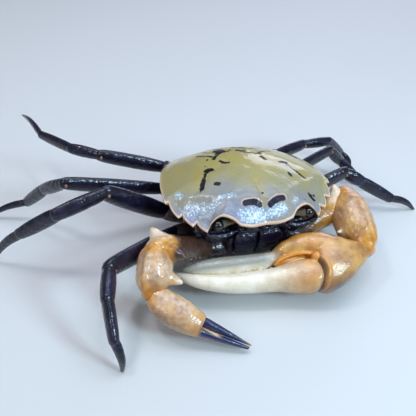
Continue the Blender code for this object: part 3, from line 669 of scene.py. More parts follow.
def shell_finish():
    made, tree, shader, place = start_finish(
        "wet_chitin_shell", 0.32, 1.5, coat=1.0, coat_roughness=0.04, specular=0.3
    )
    inland, mark, crescent, brow, stain, grains = (
        add(tree, "Attribute", out="Fac", attribute_name=key) for key in SHELL_NUMBERS
    )
    clouds, specks, painted_glints = (
        add(tree, "TexNoise", place, None, 1 / size, 3.0) for size in (CLOUD_SIZE, SPECK_SIZE, GLINT_SIZE)
    )
    # the drift: the world's y of the brow is about -20 mm and that of the rear edge 12 mm
    axes = add(tree, "SeparateXYZ", place).node.outputs
    rearward = add(tree, "MapRange", axes["Y"], -17.0, 2.0)
    # bluer towards the crab's right front: partly its own lilac tone and partly painted sheen
    sideways_tint_and_sheen = add(tree, "MapRange", axes["X"], 6.0, -18.0, -0.1, 0.3)
    drift = add(tree, "Math", clouds, 0.9, rearward, operation="MULTIPLY_ADD")
    drift = add(tree, "Math", drift, sideways_tint_and_sheen, operation="SUBTRACT")
    tone = add(tree, "ValToRGB", add(tree, "Math", drift, TONE_SPAN, operation="DIVIDE"))
    stops = tone.node.color_ramp.elements
    while len(stops) < len(SHELL_TONES):
        stops.new(0.5)
    for stop, (position, code) in zip(stops, SHELL_TONES):
        stop.position, stop.color = position / TONE_SPAN, linear(code)
    freckle = add(tree, "MapRange", specks, 0.56, 0.75, 0.0, 0.35)
    yellow = add(tree, "MapRange", stain, 1.7, 0.3, 0.0, 0.5)
    # painted highlights: a cool band of painted sheen, and pale flecks of painted glint that stand closer
    # where the patches are stronger
    painted_cool_sheen = add(tree, "MapRange", grains, 0.3, 0.75, 0.0, 0.6)
    painted_glints = add(tree, "Math", grains, 0.24, painted_glints, operation="MULTIPLY_ADD")
    painted_glints = add(tree, "MapRange", painted_glints, 0.66, 0.76)
    fading = add(tree, "MapRange", grains, 0.0, 0.5, 0.0, 0.85)
    painted_glints = add(tree, "Math", painted_glints, fading, operation="MULTIPLY")
    # the blotches: specks make their edges ragged
    ragged = add(tree, "Math", specks, 0.5, operation="SUBTRACT")
    ragged = add(tree, "Math", ragged, 0.9, mark, operation="MULTIPLY_ADD")
    blotch = add(tree, "MapRange", ragged, -0.05, 0.05)
    pale = add(tree, "MapRange", crescent, -0.4, -0.1)
    behind = add(tree, "MapRange", brow, -0.2, 0.3)
    pale = add(tree, "Math", pale, behind, operation="MULTIPLY")
    dark = add(tree, "MapRange", crescent, -0.06, 0.06)
    edge = add(tree, "MapRange", inland, 0.32, 0.16)
    # the wall under the rim: dark purple brown, its own colour darkened further with painted shade
    below = add(tree, "MapRange", inland, -0.3, -0.55)
    flank = laid_over(tree, "#130d13", (clouds, "#2b1d20"))
    # the cool band and the pale flecks laid over here are painted sheen and painted glints
    colour = laid_over(
        tree, tone, (freckle, "#76704a"), (yellow, "#a58f3c"), (painted_cool_sheen, "#8fa9bc"), (painted_glints, "#d3e1ec"),
        (blotch, "#0e0b10"), (pale, "#c9a795"), (dark, "#0b0a26"), (edge, "#e3bfa0"), (below, flank),
    )
    # pigment lies in pits, where less light gets through the water
    film = add(tree, "Math", dark, blotch, operation="MAXIMUM")
    film = add(tree, "MapRange", film, 0.0, 1.0, 1.0, 0.12)
    tree.links.new(film, shader.inputs["Coat Weight"])
    grainy = add(tree, "MapRange", brow, 9.0, 2.0, 0.15)
    end_finish(tree, shader, place, colour, size=0.588, depth=0.12, where=grainy)
    return made


SHELL_FINISH = shell_finish()
shell = piece(shell_mesh(), "shell", SHELL_FINISH, ["carapace"], smooth=0)
print("shell faces:", len(shell.data.polygons))

# %% [markdown]
# ## Fusing and noting
#
# Where a spine grows out of a plate there is no seam. A sculptor would push clay together and
# smooth it: here closed skins are laid into each other, a voxel remesh makes one skin of them,
# and smoothing rounds the creases. Afterwards each point gets numbers that say which colour
# it has, worked out from its place.

# %% Clay helpers
def join_skins(skins):
    """Several meshes laid into one, without joining their surfaces."""
    joined = bmesh.new()
    for skin in skins:
        mesh = bpy.data.meshes.new("skin")
        skin.to_mesh(mesh)
        skin.free()
        joined.from_mesh(mesh)
        bpy.data.meshes.remove(mesh)
    return joined


def fused(skins, voxel, rounds=3):
    """One smooth skin round overlapping closed ones."""
    joined = join_skins(skins)
    mesh = bpy.data.meshes.new("clay")
    joined.to_mesh(mesh)
    joined.free()
    clay = put_in_scene("clay", mesh)
    voxels = clay.modifiers.new("voxels", "REMESH")
    voxels.mode = "VOXEL"
    voxels.voxel_size = voxel
    graph = bpy.context.evaluated_depsgraph_get()
    result = clay.evaluated_get(graph)
    bm = bmesh.new()
    bm.from_mesh(result.to_mesh())
    result.to_mesh_clear()
    bpy.data.objects.remove(clay)
    bpy.data.meshes.remove(mesh)
    axes = {f"use_axis_{axis}": True for axis in "xyz"}
    for _ in range(rounds):
        bmesh.ops.smooth_vert(bm, verts=bm.verts, factor=0.5, **axes)
    return bm


def note(bm, **values):
    """Writes numbers on each point for the finish to read, from functions of its place."""
    for key, value in values.items():
        layer = bm.verts.layers.float.new(key)
        for vert in bm.verts:
            vert[layer] = value(vert.co)


def roughen(bm, height):
    """Moves each point along its normal by a function of its place."""
    bm.normal_update()
    moves = [(vert, vert.normal * height(vert.co)) for vert in bm.verts]
    for vert, move in moves:
        vert.co += move


def ease(value, low, high):
    """0 below low, 1 above high and an even slope between them. Low may be the larger."""
    return max(0.0, min(1.0, (value - low) / (high - low)))


def nothing(co):
    return 0.0


def share_along(a, b):
    """A function that gives how far from a to b a place lies, as a share of the way."""
    way = b - a
    return lambda co: (co - a).dot(way) / way.length_squared


def ball(centre, radii, rings=10):
    bm = bmesh.new()
    bmesh.ops.create_uvsphere(bm, u_segments=rings * 2, v_segments=rings, radius=1.0)
    bmesh.ops.transform(bm, matrix=Matrix.Translation(centre) @ Matrix.Diagonal((*radii, 1)), verts=bm.verts)
    return bm


# %% [markdown]
# ## Limbs
#
# A crab's limb is a chain of hollow tubes. Each tube is narrow where it leaves the one before,
# and swells and rounds over at its far end, where the next one is hinged. The joints come from
# the pose in the photo. A leg has four pieces that show: the long merus, the short carpus, the
# propodus and the pointed dactyl it walks on.

# %% Joints and outlines
LEG_JOINTS = {
    "leg1_right": (
        (-18, 12.5, -16), (-36.3, -1.6, -9.6), (-37.9, -8.2, -11.5),
        (-37.9, -14.8, -16.5), (-36.7, -17, -24.9),
    ),
    "leg2_right": (
        (-18.3, 19.3, -15.2), (-33.9, 15.2, -3), (-45.3, 12.8, -5.5),
        (-53.5, 16.5, -13), (-61, 20.5, -24.9),
    ),
    "leg3_right": (
        (-17.2, 25.8, -12.8), (-42.3, 23.6, -5.5), (-46.8, 29.2, -11),
        (-51.5, 34.2, -18.5), (-62, 37, -24.9),
    ),
    "leg4_right": (
        (-15.6, 32.0, -10.7), (-32.4, 33.1, -5.4), (-39, 37.4, -5.5),
        (-45.6, 46.4, -6.5), (-49.7, 59.6, -8),
    ),
    "leg1_left": (
        (18, 12.8, -16), (29.2, 17.6, -18), (32, 14, -20.2),
        (32.8, 8, -21.6), (30.2, 2.8, -24.9),
    ),
    "leg2_left": (
        (18.3, 19.3, -15.2), (32.8, 22.4, -12), (37.6, 20.8, -14.5),
        (47.5, 17.8, -20), (56.5, 16.4, -24.9),
    ),
    "leg3_left": (
        (17.2, 25.8, -12.8), (33.6, 33, -12), (38.8, 34, -17),
        (43.5, 28.6, -21), (51.5, 24.6, -24.9),
    ),
    "leg4_left": (
        (15.6, 32.0, -10.7), (26.9, 37, -11.8), (35.9, 38.2, -12.5),
        (42.8, 40.2, -19), (46.6, 38.2, -24.9),
    ),
}
LEG_SEGMENTS = {"merus": (1.35, 2.4), "carpus": (1.35, 1.9), "propodus": (1.15, 1.9), "dactyl": (0.85, 1.15)}
LEG_SCALE = {1: 1.22, 2: 1.05, 3: 0.88, 4: 0.88}
LEG_OUTLINE = {
    "merus": (
        (0, 0.8, 0.7), (0.12, 0.95, 0.88), (0.4, 1, 1), (0.75, 1, 0.97), (0.93, 1, 0.88), (1, 0.92, 0.78),
    ),
    "carpus": ((0, 0.85, 0.78), (0.25, 1, 0.92), (0.65, 1.05, 1.02), (1, 0.95, 0.9)),
    "propodus": ((0, 0.95, 0.84), (0.2, 1, 0.95), (0.65, 0.95, 0.92), (1, 0.86, 0.76)),
    "dactyl": ((0, 1.02, 1.06), (0.2, 1.0, 1.04), (0.55, 0.78, 0.76), (0.85, 0.5, 0.42), (1, 0.32, 0.26)),
}
DACTYL_CURVE = 1.1
SWELL = 0.8
END_ANGLES = [math.radians(d) for d in (22, 45, 66, 84)]  # where the rings of a rounded end lie


def keeled(co):
    """Bends a unit circle to the section of a limb, with a blunt keel above and below."""
    return Vector((math.copysign(abs(co.x) ** 1.15, co.x), co.y, 0))


def limb_axes(a, b):
    """The way from a to b, the way up across it and the way to the side."""
    along = (b - a).normalized()
    upward = (Vector((0, 0, 1)) - along * along.z).normalized()
    return along, upward, along.cross(upward)


def limb_skin(a, b, outline, half_width, half_height, count=14, sides=20, curve=0.0, ends=(SWELL, SWELL)):
    """One tube from joint a to joint b. Each end rounds over past its joint."""
    along, upward, _ = limb_axes(a, b)
    length = (b - a).length
    rows = smooth_path(outline, count)
    stations, reaches = [], []

    def put(reach, width, height, bow=0):
        centre = a + along * reach + upward * curve * bow
        stations.append(station(centre, along, upward, width * half_width, height * half_height))
        reaches.append(max(0.0, min(1.0, reach / length)))

    def put_end(start, row, swell, angles):
        for angle in angles if swell else ():
            out = swell * half_height * row.z * math.sin(angle)
            put(start + out, row.y * math.cos(angle), row.z * math.cos(angle))

    put_end(0, rows[0], ends[0], [-angle for angle in END_ANGLES[::-1]])
    for share, width, height in rows:
        put(share * length, width, height, math.sin(math.pi * min(share, 1)))
    put_end(length, rows[-1], ends[1], END_ANGLES)
    return sweep(stations, sides, keeled, reaches)


# %% [markdown]
# ## The finish of the legs
#
# The legs are dark chitin, wet like the shell: nearly black to the eye, with a purple cast in
# clouds about 3 mm across. The points are horn, which is paler. At the hinges pale orange
# flesh shows: plain skin of one colour, a little see-through, with a faint cloud in it.

# %% Leg, flesh and plain finishes
LEG_CLOUD_SIZE, SKIN_CLOUD_SIZE = 2.857, 1.111  # mm


def leg_finish():
    made, tree, shader, place = start_finish("wet_dark_chitin", 0.34, 1.52, coat=1.0, specular=0.25)
    clouds = add(tree, "TexNoise", place, None, 1 / LEG_CLOUD_SIZE, 3.0)
    patch = add(tree, "MapRange", clouds, 0.42, 0.68)
    horn = add(tree, "Attribute", out="Fac", attribute_name="horn")
    colour = laid_over(tree, "#0c0a1c", (patch, "#1f1b38"), (horn, "#a98452"))
    end_finish(tree, shader, place, colour, size=1.0, depth=0.2)
    return made


def plain_finish(name, code, roughness, coat=1.0, flesh=0.0, ior=1.45, grain=0.0):
    """A finish of one colour with a faint cloud in it, about a millimetre across."""
    made, tree, shader, place = start_finish(name, roughness, ior, coat=coat, flesh=flesh)
    clouds = add(tree, "TexNoise", place, None, 1 / SKIN_CLOUD_SIZE, 3.0)
    shade = add(tree, "MapRange", clouds, 0.0, 1.0, 0.75, 1.2)
    colour = add(tree, "VectorMath", linear(code)[:3], None, None, shade, operation="SCALE")
    end_finish(tree, shader, place, colour, size=0.909, depth=grain)
    return made


LEG_FINISH = leg_finish()
FLESH = plain_finish("joint_flesh", "#8f6c58", 0.4, coat=0.8, flesh=0.2)

# %% [markdown]
# ## Walking legs
#
# The far end of each merus shows two pale knobs: the pegs on which the next piece turns. The
# dactyl is cut off level with the ground, because the crab stands on its point.

# %% Walking legs
KNOB_RADII = (0.36, 0.45, 0.45)
FLOOR_CUT = GROUND + 0.02
HORN_FROM, HORN_TO = 0.9, 0.99


def leg(name):
    joints = [Vector(p) for p in LEG_JOINTS[name]]
    scale = LEG_SCALE[int(name[3])]
    for (part, sizes), a, b in zip(LEG_SEGMENTS.items(), joints, joints[1:]):
        half_width, half_height = (size * scale for size in sizes)
        last = part == "dactyl"
        bm = limb_skin(
            a, b, LEG_OUTLINE[part], half_width, half_height,
            curve=DACTYL_CURVE if last else 0.0, ends=(SWELL, 0 if last else SWELL),
        )
        share = share_along(a, b)
        if last:
            trim(bm, Vector((0, 0, FLOOR_CUT)), Vector((0, 0, -1)))
        note(bm, horn=(lambda co: ease(share(co), HORN_FROM, HORN_TO)) if last else nothing)
        piece(bm, f"{name}_{part}_skin", LEG_FINISH, [f"{name}_{part}"])
        if part == "merus":
            along, _, side = limb_axes(a, b)
            spots = [b + side * way * half_width * 0.93 - along * 0.2 for way in (-1, 1)]
            knobs = join_skins([ball(spot, KNOB_RADII, rings=6) for spot in spots])
            piece(knobs, f"{name}_knobs", FLESH, smooth=0)


for name in LEG_JOINTS:
    leg(name)
print("legs:", len(LEG_JOINTS))

# %% [markdown]
# ## The finish of the claws
#
# The claws are thick wet chitin: warm amber in clouds about 3 mm across, with brown freckles,
# and pinkish white patches of painted sheen on their broad faces. They are umber at the hinge
# lines and the root of the merus, with painted shade on the lower side, along the top of the
# large palm, in the gap at the wrist and partly on the merus. They are orange at the hinges,
# ivory on the fingers of the large one, grey on its fixed finger, partly as painted shade, and
# navy on those of the small one. Light goes a little way in, so to the eye they glow: that is
# the flesh part of the shader.

# %% Claw finish
CLAW_COLOURS = ("ivory", "glow", "navy", "umber", "blush", "pearl")
CLAW_NOISES = ((3.333, 4.0), (0.4545, 2.0), (0.909, 4.0))  # size in mm and detail


def claw_finish():
    made, tree, shader, place = start_finish(
        "wet_amber_chitin", 0.3, 1.52, coat=1.0, coat_roughness=0.06, flesh=0.05
    )
    ivory, glow, navy, umber, blush, pearl = (
        add(tree, "Attribute", out="Fac", attribute_name=key) for key in CLAW_COLOURS
    )
    clouds, specks, mottle = (
        add(tree, "TexNoise", place, None, 1 / size, detail) for size, detail in CLAW_NOISES
    )
    patch = add(tree, "MapRange", clouds, 0.35, 0.65)
    freckle = add(tree, "MapRange", specks, 0.55, 0.75, 0.0, 0.35)
    mottle = add(tree, "MapRange", mottle, 0.35, 0.7, 0.2, 0.6)
    # pinkish white patches of painted sheen
    pink_sheen_patches = add(tree, "Math", blush, mottle, operation="MULTIPLY")
    horn = laid_over(tree, "#dfd2b6", (patch, "#f0e7d4"))
    colour = laid_over(
        # the umber layer is partly real dark lines and partly painted shade
        tree, "#9a6018", (patch, "#d59d42"), (freckle, "#74451f"), (pink_sheen_patches, "#dac2ae"), (umber, "#452e24"),
        # the pearl grey on the fixed finger is partly painted shade
        (ivory, horn), (pearl, "#85857a"), (glow, "#dc8a1c"), (navy, "#0b1546"),
    )
    end_finish(tree, shader, place, colour, size=0.5263, depth=0.1)
    return made


CLAW_FINISH = claw_finish()

# %% [markdown]
# ## Claws
#
# A hand is a swollen palm that runs out into one finger. The other finger is hinged beside it.
# Both are drawn by rows: how far from the wrist, where the back and front edges lie, and half
# the thickness. The large hand has blunt teeth along both edges that meet.

# %% Claw tables
CLAW_JOINTS = {
    "claw_right": ((-11.5, 6, -16), (-25.3, 0.9, -9.2), (-28.5, -5.9, -15), (-9.3, -19.1, -22.8)),
    "claw_left": ((11.5, 6, -16), (26.0, 11.0, -11), (25.4, -4.2, -14.8), (-20.2, 0.6, -16.5)),
}
CLAW_TILT = {"claw_left": (25, 0), "claw_right": (30, -20)}
BIG_PALM = (
    (0.3, -1.6, 2.2, 2.3), (2.6, -2.4, 4.4, 3.6), (5.5, -3.2, 6.8, 4.6), (9.0, -4.5, 8.6, 5.2),
    (11.6, -5.2, 9.3, 5.2), (13.2, -5.4, 9.1, 4.7), (14.4, -5.4, 8.6, 3.4), (15.4, -5.3, 7.6, 2.0),
)
BIG_LOBE = (
    (6.0, -3.2, 3.4, 4.2), (10.0, -4.8, 3.0, 5.0), (13.1, -5.4, 1.4, 4.8), (17.0, -5.3, 0.0, 4.3),
    (20.5, -4.2, 0.1, 3.4), (22.6, -3.0, 0.9, 2.7), (23.6, -2.1, 0.9, 1.8),
)
BIG_FIXED = (
    (19.0, -2.8, -0.4, 2.0), (24.0, -2.0, 1.3, 2.1), (30.0, -2.0, 1.95, 1.9), (36.0, -2.1, 1.95, 1.6),
    (41.0, -1.7, 1.35, 1.2), (44.0, -1.0, 0.75, 0.7), (45.0, -0.6, 0.2, 0.35),
)
BIG_FINGER = (
    (12.6, 3.4, 6.8, 3.2), (13.6, 1.8, 8.0, 4.0), (14.8, 0.9, 8.8, 4.2), (16.5, 0.7, 9.0, 4.0),
    (20.0, 0.9, 8.3, 3.5), (24.0, 1.9, 7.5, 2.8), (30.0, 2.2, 7.2, 2.4), (36.0, 2.1, 6.4, 2.1),
    (41.0, 1.5, 5.0, 1.6), (44.5, 0.8, 3.2, 1.1), (46.6, 0.2, 1.0, 0.4),
)
SMALL_PALM = (
    (0.3, -2.2, 1.9, 2.1), (2.5, -3.6, 2.6, 2.8), (5.5, -4.2, 2.8, 3.2), (9.0, -4.2, 2.5, 3.1),
    (12.0, -3.7, 1.9, 2.6), (12.9, -3.4, 1.6, 2.2),
)
SMALL_FIXED = (
    (11.0, -3.2, -0.6, 2.1), (13.0, -3.1, -0.95, 1.7), (16.5, -2.4, -0.65, 1.25),
    (20.5, -1.5, -0.15, 0.85), (24.4, -0.5, 0.25, 0.3),
)
SMALL_FINGER = (
    (12.2, -0.7, 1.1, 1.3), (13.2, -0.85, 1.3, 1.6), (15.0, -0.75, 1.3, 1.5), (18.5, -0.35, 1.15, 1.1),
    (22.0, 0.1, 0.9, 0.7), (24.6, 0.45, 0.8, 0.25),
)
CLAW_ARMS = {
    "claw_left": {"merus": (3.4, 3.5), "carpus": (4.7, 5.0)},
    "claw_right": {"merus": (3.1, 3.3), "carpus": (3.8, 4.0)},
}
CLAW_ARM_OUTLINE = {
    "merus": ((0, 0.66, 0.66), (0.2, 0.84, 0.82), (0.6, 1, 1), (0.85, 1.08, 1.12), (1, 0.95, 1.0)),
    "carpus": (
        (0, 0.8, 0.8), (0.15, 1, 1), (0.4, 1.06, 1.06), (0.7, 0.98, 0.98), (0.9, 0.72, 0.74), (1, 0.5, 0.54),
    ),
}
CLAW_SWELL = {"merus": 0.9, "carpus": 0.7}
CORD_COUNT = 24
TOOTH_RADIUS = 0.5
SPINE_ROWS = ((0, 1.0), (0.3, 0.85), (0.55, 0.6), (0.8, 0.34), (0.93, 0.2), (1, 0.08))


print("claws:", ", ".join(CLAW_JOINTS))

# %% [markdown]
# ## Measuring from the wrist
#
# Each hand is turned in space, so its shape and its colours are given in its own
# directions: out along the fingers, towards their front edge, and out of the flat side.
# Palms and fingers are tubes of flat ovals, cords are thin tubes, and teeth are small balls.

# %% Claw helpers
def claw_axes(name):
    """The wrist, the line of the fingers, the way to their front edge and the way out of the flat side."""
    wrist, tip = (Vector(p) for p in CLAW_JOINTS[name][2:])
    tilt, turn = (math.radians(a) for a in CLAW_TILT[name])
    along = (tip - wrist).normalized()
    out = Vector((math.sin(turn) * math.sin(tilt), -math.cos(turn) * math.sin(tilt), math.cos(tilt)))
    out = (out - along * out.dot(along)).normalized()
    return wrist, along, out.cross(along), out


def in_claw(name):
    """A function that gives a place's reach from the wrist, its way to the front and its way out."""
    wrist, *axes = claw_axes(name)
    return lambda co: [(co - wrist).dot(axis) for axis in axes]


def from_claw(name, reach, front, out):
    """The place with these three measures."""
    wrist, *axes = claw_axes(name)
    return wrist + sum((axis * size for axis, size in zip(axes, (reach, front, out))), Vector())


def hand_skin(name, rows, count):
    """The skin through the rows of a palm or a finger."""
    wrist, along, front, out = claw_axes(name)
    centres = smooth_path([(reach, (a + b) / 2, 0) for reach, a, b, _ in rows], count)
    halves = smooth_path([(abs(b - a) / 2, thick, 0) for _, a, b, thick in rows], count)
    stations = [
        station(wrist + along * c.x + front * c.y, along, out, h.x, h.y) for c, h in zip(centres, halves)
    ]
    return sweep(stations, 28, rounded(0.85))


def cord_skin(path, radius):
    """A thin raised line through the points, with pointed ends."""
    path = smooth_path(path, CORD_COUNT)
    sizes = [radius * min(1.0, 0.35 + 4 * min(i, CORD_COUNT - 1 - i) / CORD_COUNT) for i in range(CORD_COUNT)]
    stations = [station(p, w, w.orthogonal(), r, r) for p, w, r in zip(path, ways_along(path), sizes)]
    return sweep(stations, 10)


def tooth_row(name, rows, edge, first, last, count, big=()):
    """Blunt teeth along one edge of a finger: 1 is the back edge of its rows, 2 the front edge."""
    teeth = []
    for number in range(count):
        reach = first + (last - first) * number / (count - 1)
        lower, upper = next((a, b) for a, b in zip(rows, rows[1:]) if a[0] <= reach < b[0])
        t = (reach - lower[0]) / (upper[0] - lower[0])
        place = lower[edge] + (upper[edge] - lower[edge]) * t
        grow = TOOTH_RADIUS * (1.5 if number in big else 1.0) * (1 - 0.45 * number / count)
        teeth.append(ball(from_claw(name, reach, place, 0), (grow, grow, grow), rings=5))
    return teeth


def spine_skin(root, tip, radius):
    """A spine with a broad foot, so that it grows out of the plate."""
    along = tip - root
    upward = along.orthogonal()
    stations = [station(root + along * s, along, upward, radius * w, radius * w) for s, w in SPINE_ROWS]
    return sweep(stations, 14)


def claw_piece(bm, label, node, paint):
    """A claw's piece. The paint gives the shares of the colours at a place, 0 where it names none."""
    layers = {key: bm.verts.layers.float.new(key) for key in CLAW_COLOURS}
    for vert in bm.verts:
        for key, value in paint(vert.co).items():
            vert[layers[key]] = value
    return piece(bm, label, CLAW_FINISH, [node], smooth=0)


def near_path(path, radius):
    """1 on the path, fading to 0 at the radius."""
    path = smooth_path(path, 30)
    return lambda co: max(0.0, 1 - min((co - p).length for p in path) / radius)


# %% [markdown]
# ## The arms of the claws
#
# The arm plates carry the crab's few real spines: one on the inner side of each carpus, and
# a row of small points along the front edge of the merus. The far end of each merus flares
# into a pale lip that the carpus turns against.

# %% Arms of the claws
CARPUS_SPINES = {  # tips and foot radius: the root lies on the axis of the carpus
    "claw_left": ((0.55, (19.7, 1.1, -12.7), 1.8),),
    "claw_right": ((0.5, (-21.3, -6.2, -13.0), 2.9), (0.9, (-24.6, -8.6, -15.4), 1.2)),
}
MERUS_LIP = {  # corners of the lip that the carpus turns against
    "claw_left": (((22.9, 12.2, -7.0), 2.6),),
    "claw_right": (((-25.6, 5.9, -7.0), 3.0), ((-20.7, -4.4, -6.9), 2.5)),
}
MERUS_COLLAR = {"claw_left": (0.1, 0.6, 30.0), "claw_right": (0.6, 0.85, 5.4)}
LIP_SINK = 2.0
CARPUS_RIDGE = ((0.0, 0.72), (0.3, 0.86), (0.6, 0.88), (0.85, 0.74), (1.0, 0.5))  # shares of length, height
MERUS_POINTS = {"claw_left": 0, "claw_right": 7}
CARPUS_SHEEN = {"claw_left": 0.75, "claw_right": 1.5}
ARM_VOXEL, HAND_VOXEL, FINE_VOXEL = 0.22, 0.24, 0.2


def merus_paint(name, b, share):
    low, high, far = MERUS_COLLAR[name]
    corner = Vector(MERUS_LIP[name][0][0])

    def paint(co):
        to_corner = (co - corner).length
        near = max(ease((co - b).length, far, far - 1.2), ease(to_corner, 4.5, 3.0))
        collar = near * ease(share(co), low, high)
        ivory = 0.85 * collar * ease(to_corner, 6.0, 2.5)
        # behind the collar the merus is dark umber, partly its own colour and partly painted shade
        return {"ivory": ivory, "glow": 0.15 * collar, "umber": 1 - collar}

    return paint


def carpus_paint(name, b, share):
    def paint(co):
        tip = max(ease((co - Vector(tip)).length, 2.2, 0.5) for _, tip, _ in CARPUS_SPINES[name])
        hinge = max(ease(share(co), 0.12, -0.12), ease(share(co), 0.8, 1.0))
        # painted sheen across the middle of the carpus
        blush = CARPUS_SHEEN[name] * ease(abs(share(co) - 0.45), 0.45, 0.1)
        return {"ivory": 0.7 * tip, "glow": 0.5 * hinge, "blush": blush}

    return paint


def arm_piece(name, part, a, b):
    half_width, half_height = CLAW_ARMS[name][part]
    along, upward, side = limb_axes(a, b)
    ends = (CLAW_SWELL[part],) * 2
    skins = [limb_skin(a, b, CLAW_ARM_OUTLINE[part], half_width, half_height, 18, 28, ends=ends)]
    if part == "carpus":
        for share, tip, radius in CARPUS_SPINES[name]:
            skins.append(spine_skin(a.lerp(b, share), Vector(tip), radius))
        crest = (upward * 0.94 + side * math.copysign(0.34, side.x * b.x)) * half_height
        ridge = [a.lerp(b, share) + crest * height for share, height in CARPUS_RIDGE]
        skins.append(cord_skin(ridge, 1.1))
    else:
        for lip, radius in MERUS_LIP[name]:
            skins.append(spine_skin(b - along * LIP_SINK, Vector(lip), radius * 1.25))
        forward = side if side.y < 0 else -side
        edge = forward * half_width * 0.86 - upward * half_height * 0.25
        for number in range(MERUS_POINTS[name]):
            foot = a.lerp(b, 0.3 + 0.6 * number / MERUS_POINTS[name]) + edge
            skins.append(spine_skin(foot, foot + forward * 1.0 + along * 0.5, 0.55))
    bm = fused(skins, ARM_VOXEL, 2)
    roughen(bm, lambda co: noise.noise(co * 0.4) * 0.24 + noise.noise(co * 1.2) * 0.07)
    paint = {"merus": merus_paint, "carpus": carpus_paint}[part](name, b, share_along(a, b))
    claw_piece(bm, f"{name}_{part}_skin", f"{name}_{part}", paint)


for name, joints in CLAW_JOINTS.items():
    shoulder, elbow, wrist, _ = (Vector(p) for p in joints)
    arm_piece(name, "merus", shoulder, elbow)
    arm_piece(name, "carpus", elbow, wrist)
print("arms of the claws made")

# %% [markdown]
# ## The large hand
#
# The palm ends in a lobe, and the pale fixed finger grows out of that lobe with a clear line
# between the two colours. Bright orange skin fills the corner where the fingers meet, and a
# raised orange line runs along it. A raised lip on the palm goes round the root of the other
# finger, which turns on an orange knob.

# %% Large hand
GAPE_LINE = (
    (13.6, 0.9, 2.9), (15.6, 0.3, 3.2), (18.0, 0.0, 3.0),
    (20.6, 0.3, 2.6), (22.8, 1.0, 2.2), (24.2, 1.9, 1.6),
)
PALM_LIP = (
    (13.7, 1.5, 4.3), (12.7, 3.1, 4.9), (12.3, 4.9, 4.9),
    (12.6, 6.7, 4.3), (13.3, 8.2, 2.9), (13.8, 9.0, 1.2),
)
in_left = in_claw("claw_left")
gape = [from_claw("claw_left", *p) for p in GAPE_LINE]
on_gape = near_path(gape, 0.9)
knob = from_claw("claw_left", 14.0, 1.1, 3.3)


def past_hinge(reach, front):
    """How far past the curved line between palm and finger a place lies."""
    return reach - 13.1 - 0.1 * (front - 4.9) ** 2


def big_hand_paint(co):
    reach, front, out = in_left(co)
    past = past_hinge(reach, front)
    return {
        "ivory": ease(reach + 0.25 * front, 22.0, 25.5),
        "glow": max(min(1.0, 1.6 * on_gape(co)), 0.3 * ease(reach, 10, 12.5) * ease(past, -0.2, -0.7)),
        # grey on the fixed finger, partly painted shade where it lies deeper
        "pearl": 0.9 * ease(reach, 22.5, 26) * ease(front, 1.6, 0.6),
        # the dark line at the hinge; painted shade along the top and the lower side; darker at the root of
        # the fixed finger; and a painted shadow in the gap at the wrist
        "umber": max(
            0.8 * ease(past, -0.5, 0.0) * ease(front, 0.6, 1.4) * ease(reach, 16.0, 15.0),
            0.6 * ease(front, 4.0, 8.0) * ease(reach, 12.0, 7.0),
            ease(front - 0.6 * out, 3.0, 7.5) * ease(reach, 18.0, 14.0),
            0.35 * ease(reach, 30.0, 24.0) * ease(reach, 21.0, 23.0),
            0.7 * ease(front, -1.6, -2.4) * ease(reach, 6.5, 5.0) * ease(reach, 2.0, 3.5),
        ),
        # painted sheen on the flat outer side
        "blush": 0.5 * ease(out, 2.0, 5.0),
    }


def big_finger_paint(co):
    reach, front, out = in_left(co)
    past, to_knob = past_hinge(reach, front), (co - knob).length
    return {
        "ivory": 0.2 + 0.8 * ease(reach - 0.8 * max(front - 4, 0), 15.5, 27.0),
        "glow": max(0.35 * ease(reach, 24.0, 14.5) * ease(past, 0.5, 1.3), 0.8 * ease(to_knob, 1.9, 1.2)),
        # the dark line at the hinge, and painted shade on the lower side of the finger's root
        "umber": max(
            0.7 * ease(past, 0.9, 0.3) * ease(to_knob, 1.3, 2.2),
            0.6 * ease(front - 0.5 * out, 5.0, 9.0) * ease(reach, 26.0, 16.0),
        ),
    }


skins = [hand_skin("claw_left", *table) for table in ((BIG_PALM, 16), (BIG_LOBE, 20), (BIG_FIXED, 34))]
skins += [cord_skin(gape, 0.36), cord_skin([from_claw("claw_left", *p) for p in PALM_LIP], 0.5)]
skins += tooth_row("claw_left", BIG_FIXED, 2, 25.5, 42.5, 13, (1, 5))
big_hand = fused(skins, HAND_VOXEL, 2)
roughen(big_hand, lambda co: noise.noise(co * 0.35) * 0.16 * ease(in_left(co)[0], 24, 16))
claw_piece(big_hand, "big_hand", "claw_left_hand", big_hand_paint)
web = fused([ball(from_claw("claw_left", 18.6, 0.9, 0.6), (5.4, 1.5, 1.7), rings=14)], HAND_VOXEL, 1)
claw_piece(web, "gape_web", "claw_left_hand", lambda co: {"glow": 0.35})
skins = [hand_skin("claw_left", BIG_FINGER, 40), ball(knob, (1.4, 1.2, 1.1))]
skins += tooth_row("claw_left", BIG_FINGER, 1, 24.5, 43.5, 14, (2, 7))
claw_piece(fused(skins, HAND_VOXEL, 2), "big_finger", "claw_left_finger", big_finger_paint)

# %% [markdown]
# ## The small hand
#
# The small hand is amber too. Its fingers are navy, nearly black, with a pale orange point,
# and the edge of the fixed one that faces the other is cream.

# %% Small hand
in_right = in_claw("claw_right")


def small_hand_paint(co):
    reach, front, _ = in_right(co)
    cream = ease(front, -1.5, -1.2) * ease(reach, 18.0, 16.5)
    return {
        "ivory": 0.7 * ease(reach, 13, 14) * cream,
        "navy": ease(reach, 12.4, 13.6) * (1 - cream),
        "glow": 0.4 * ease(reach, 2.5, 0.5) + 0.2 * ease(reach, 9.5, 12.5),
        # painted sheen across the middle of the palm
        "blush": ease(abs(reach - 6.0), 8.5, 3.5) * (0.8 + 0.6 * ease(front, -2.5, 0.5)),
        # darker along the back edge of the palm
        "umber": 0.5 * ease(front, -2.0, -4.6) * ease(reach, 12.5, 11.5),
    }


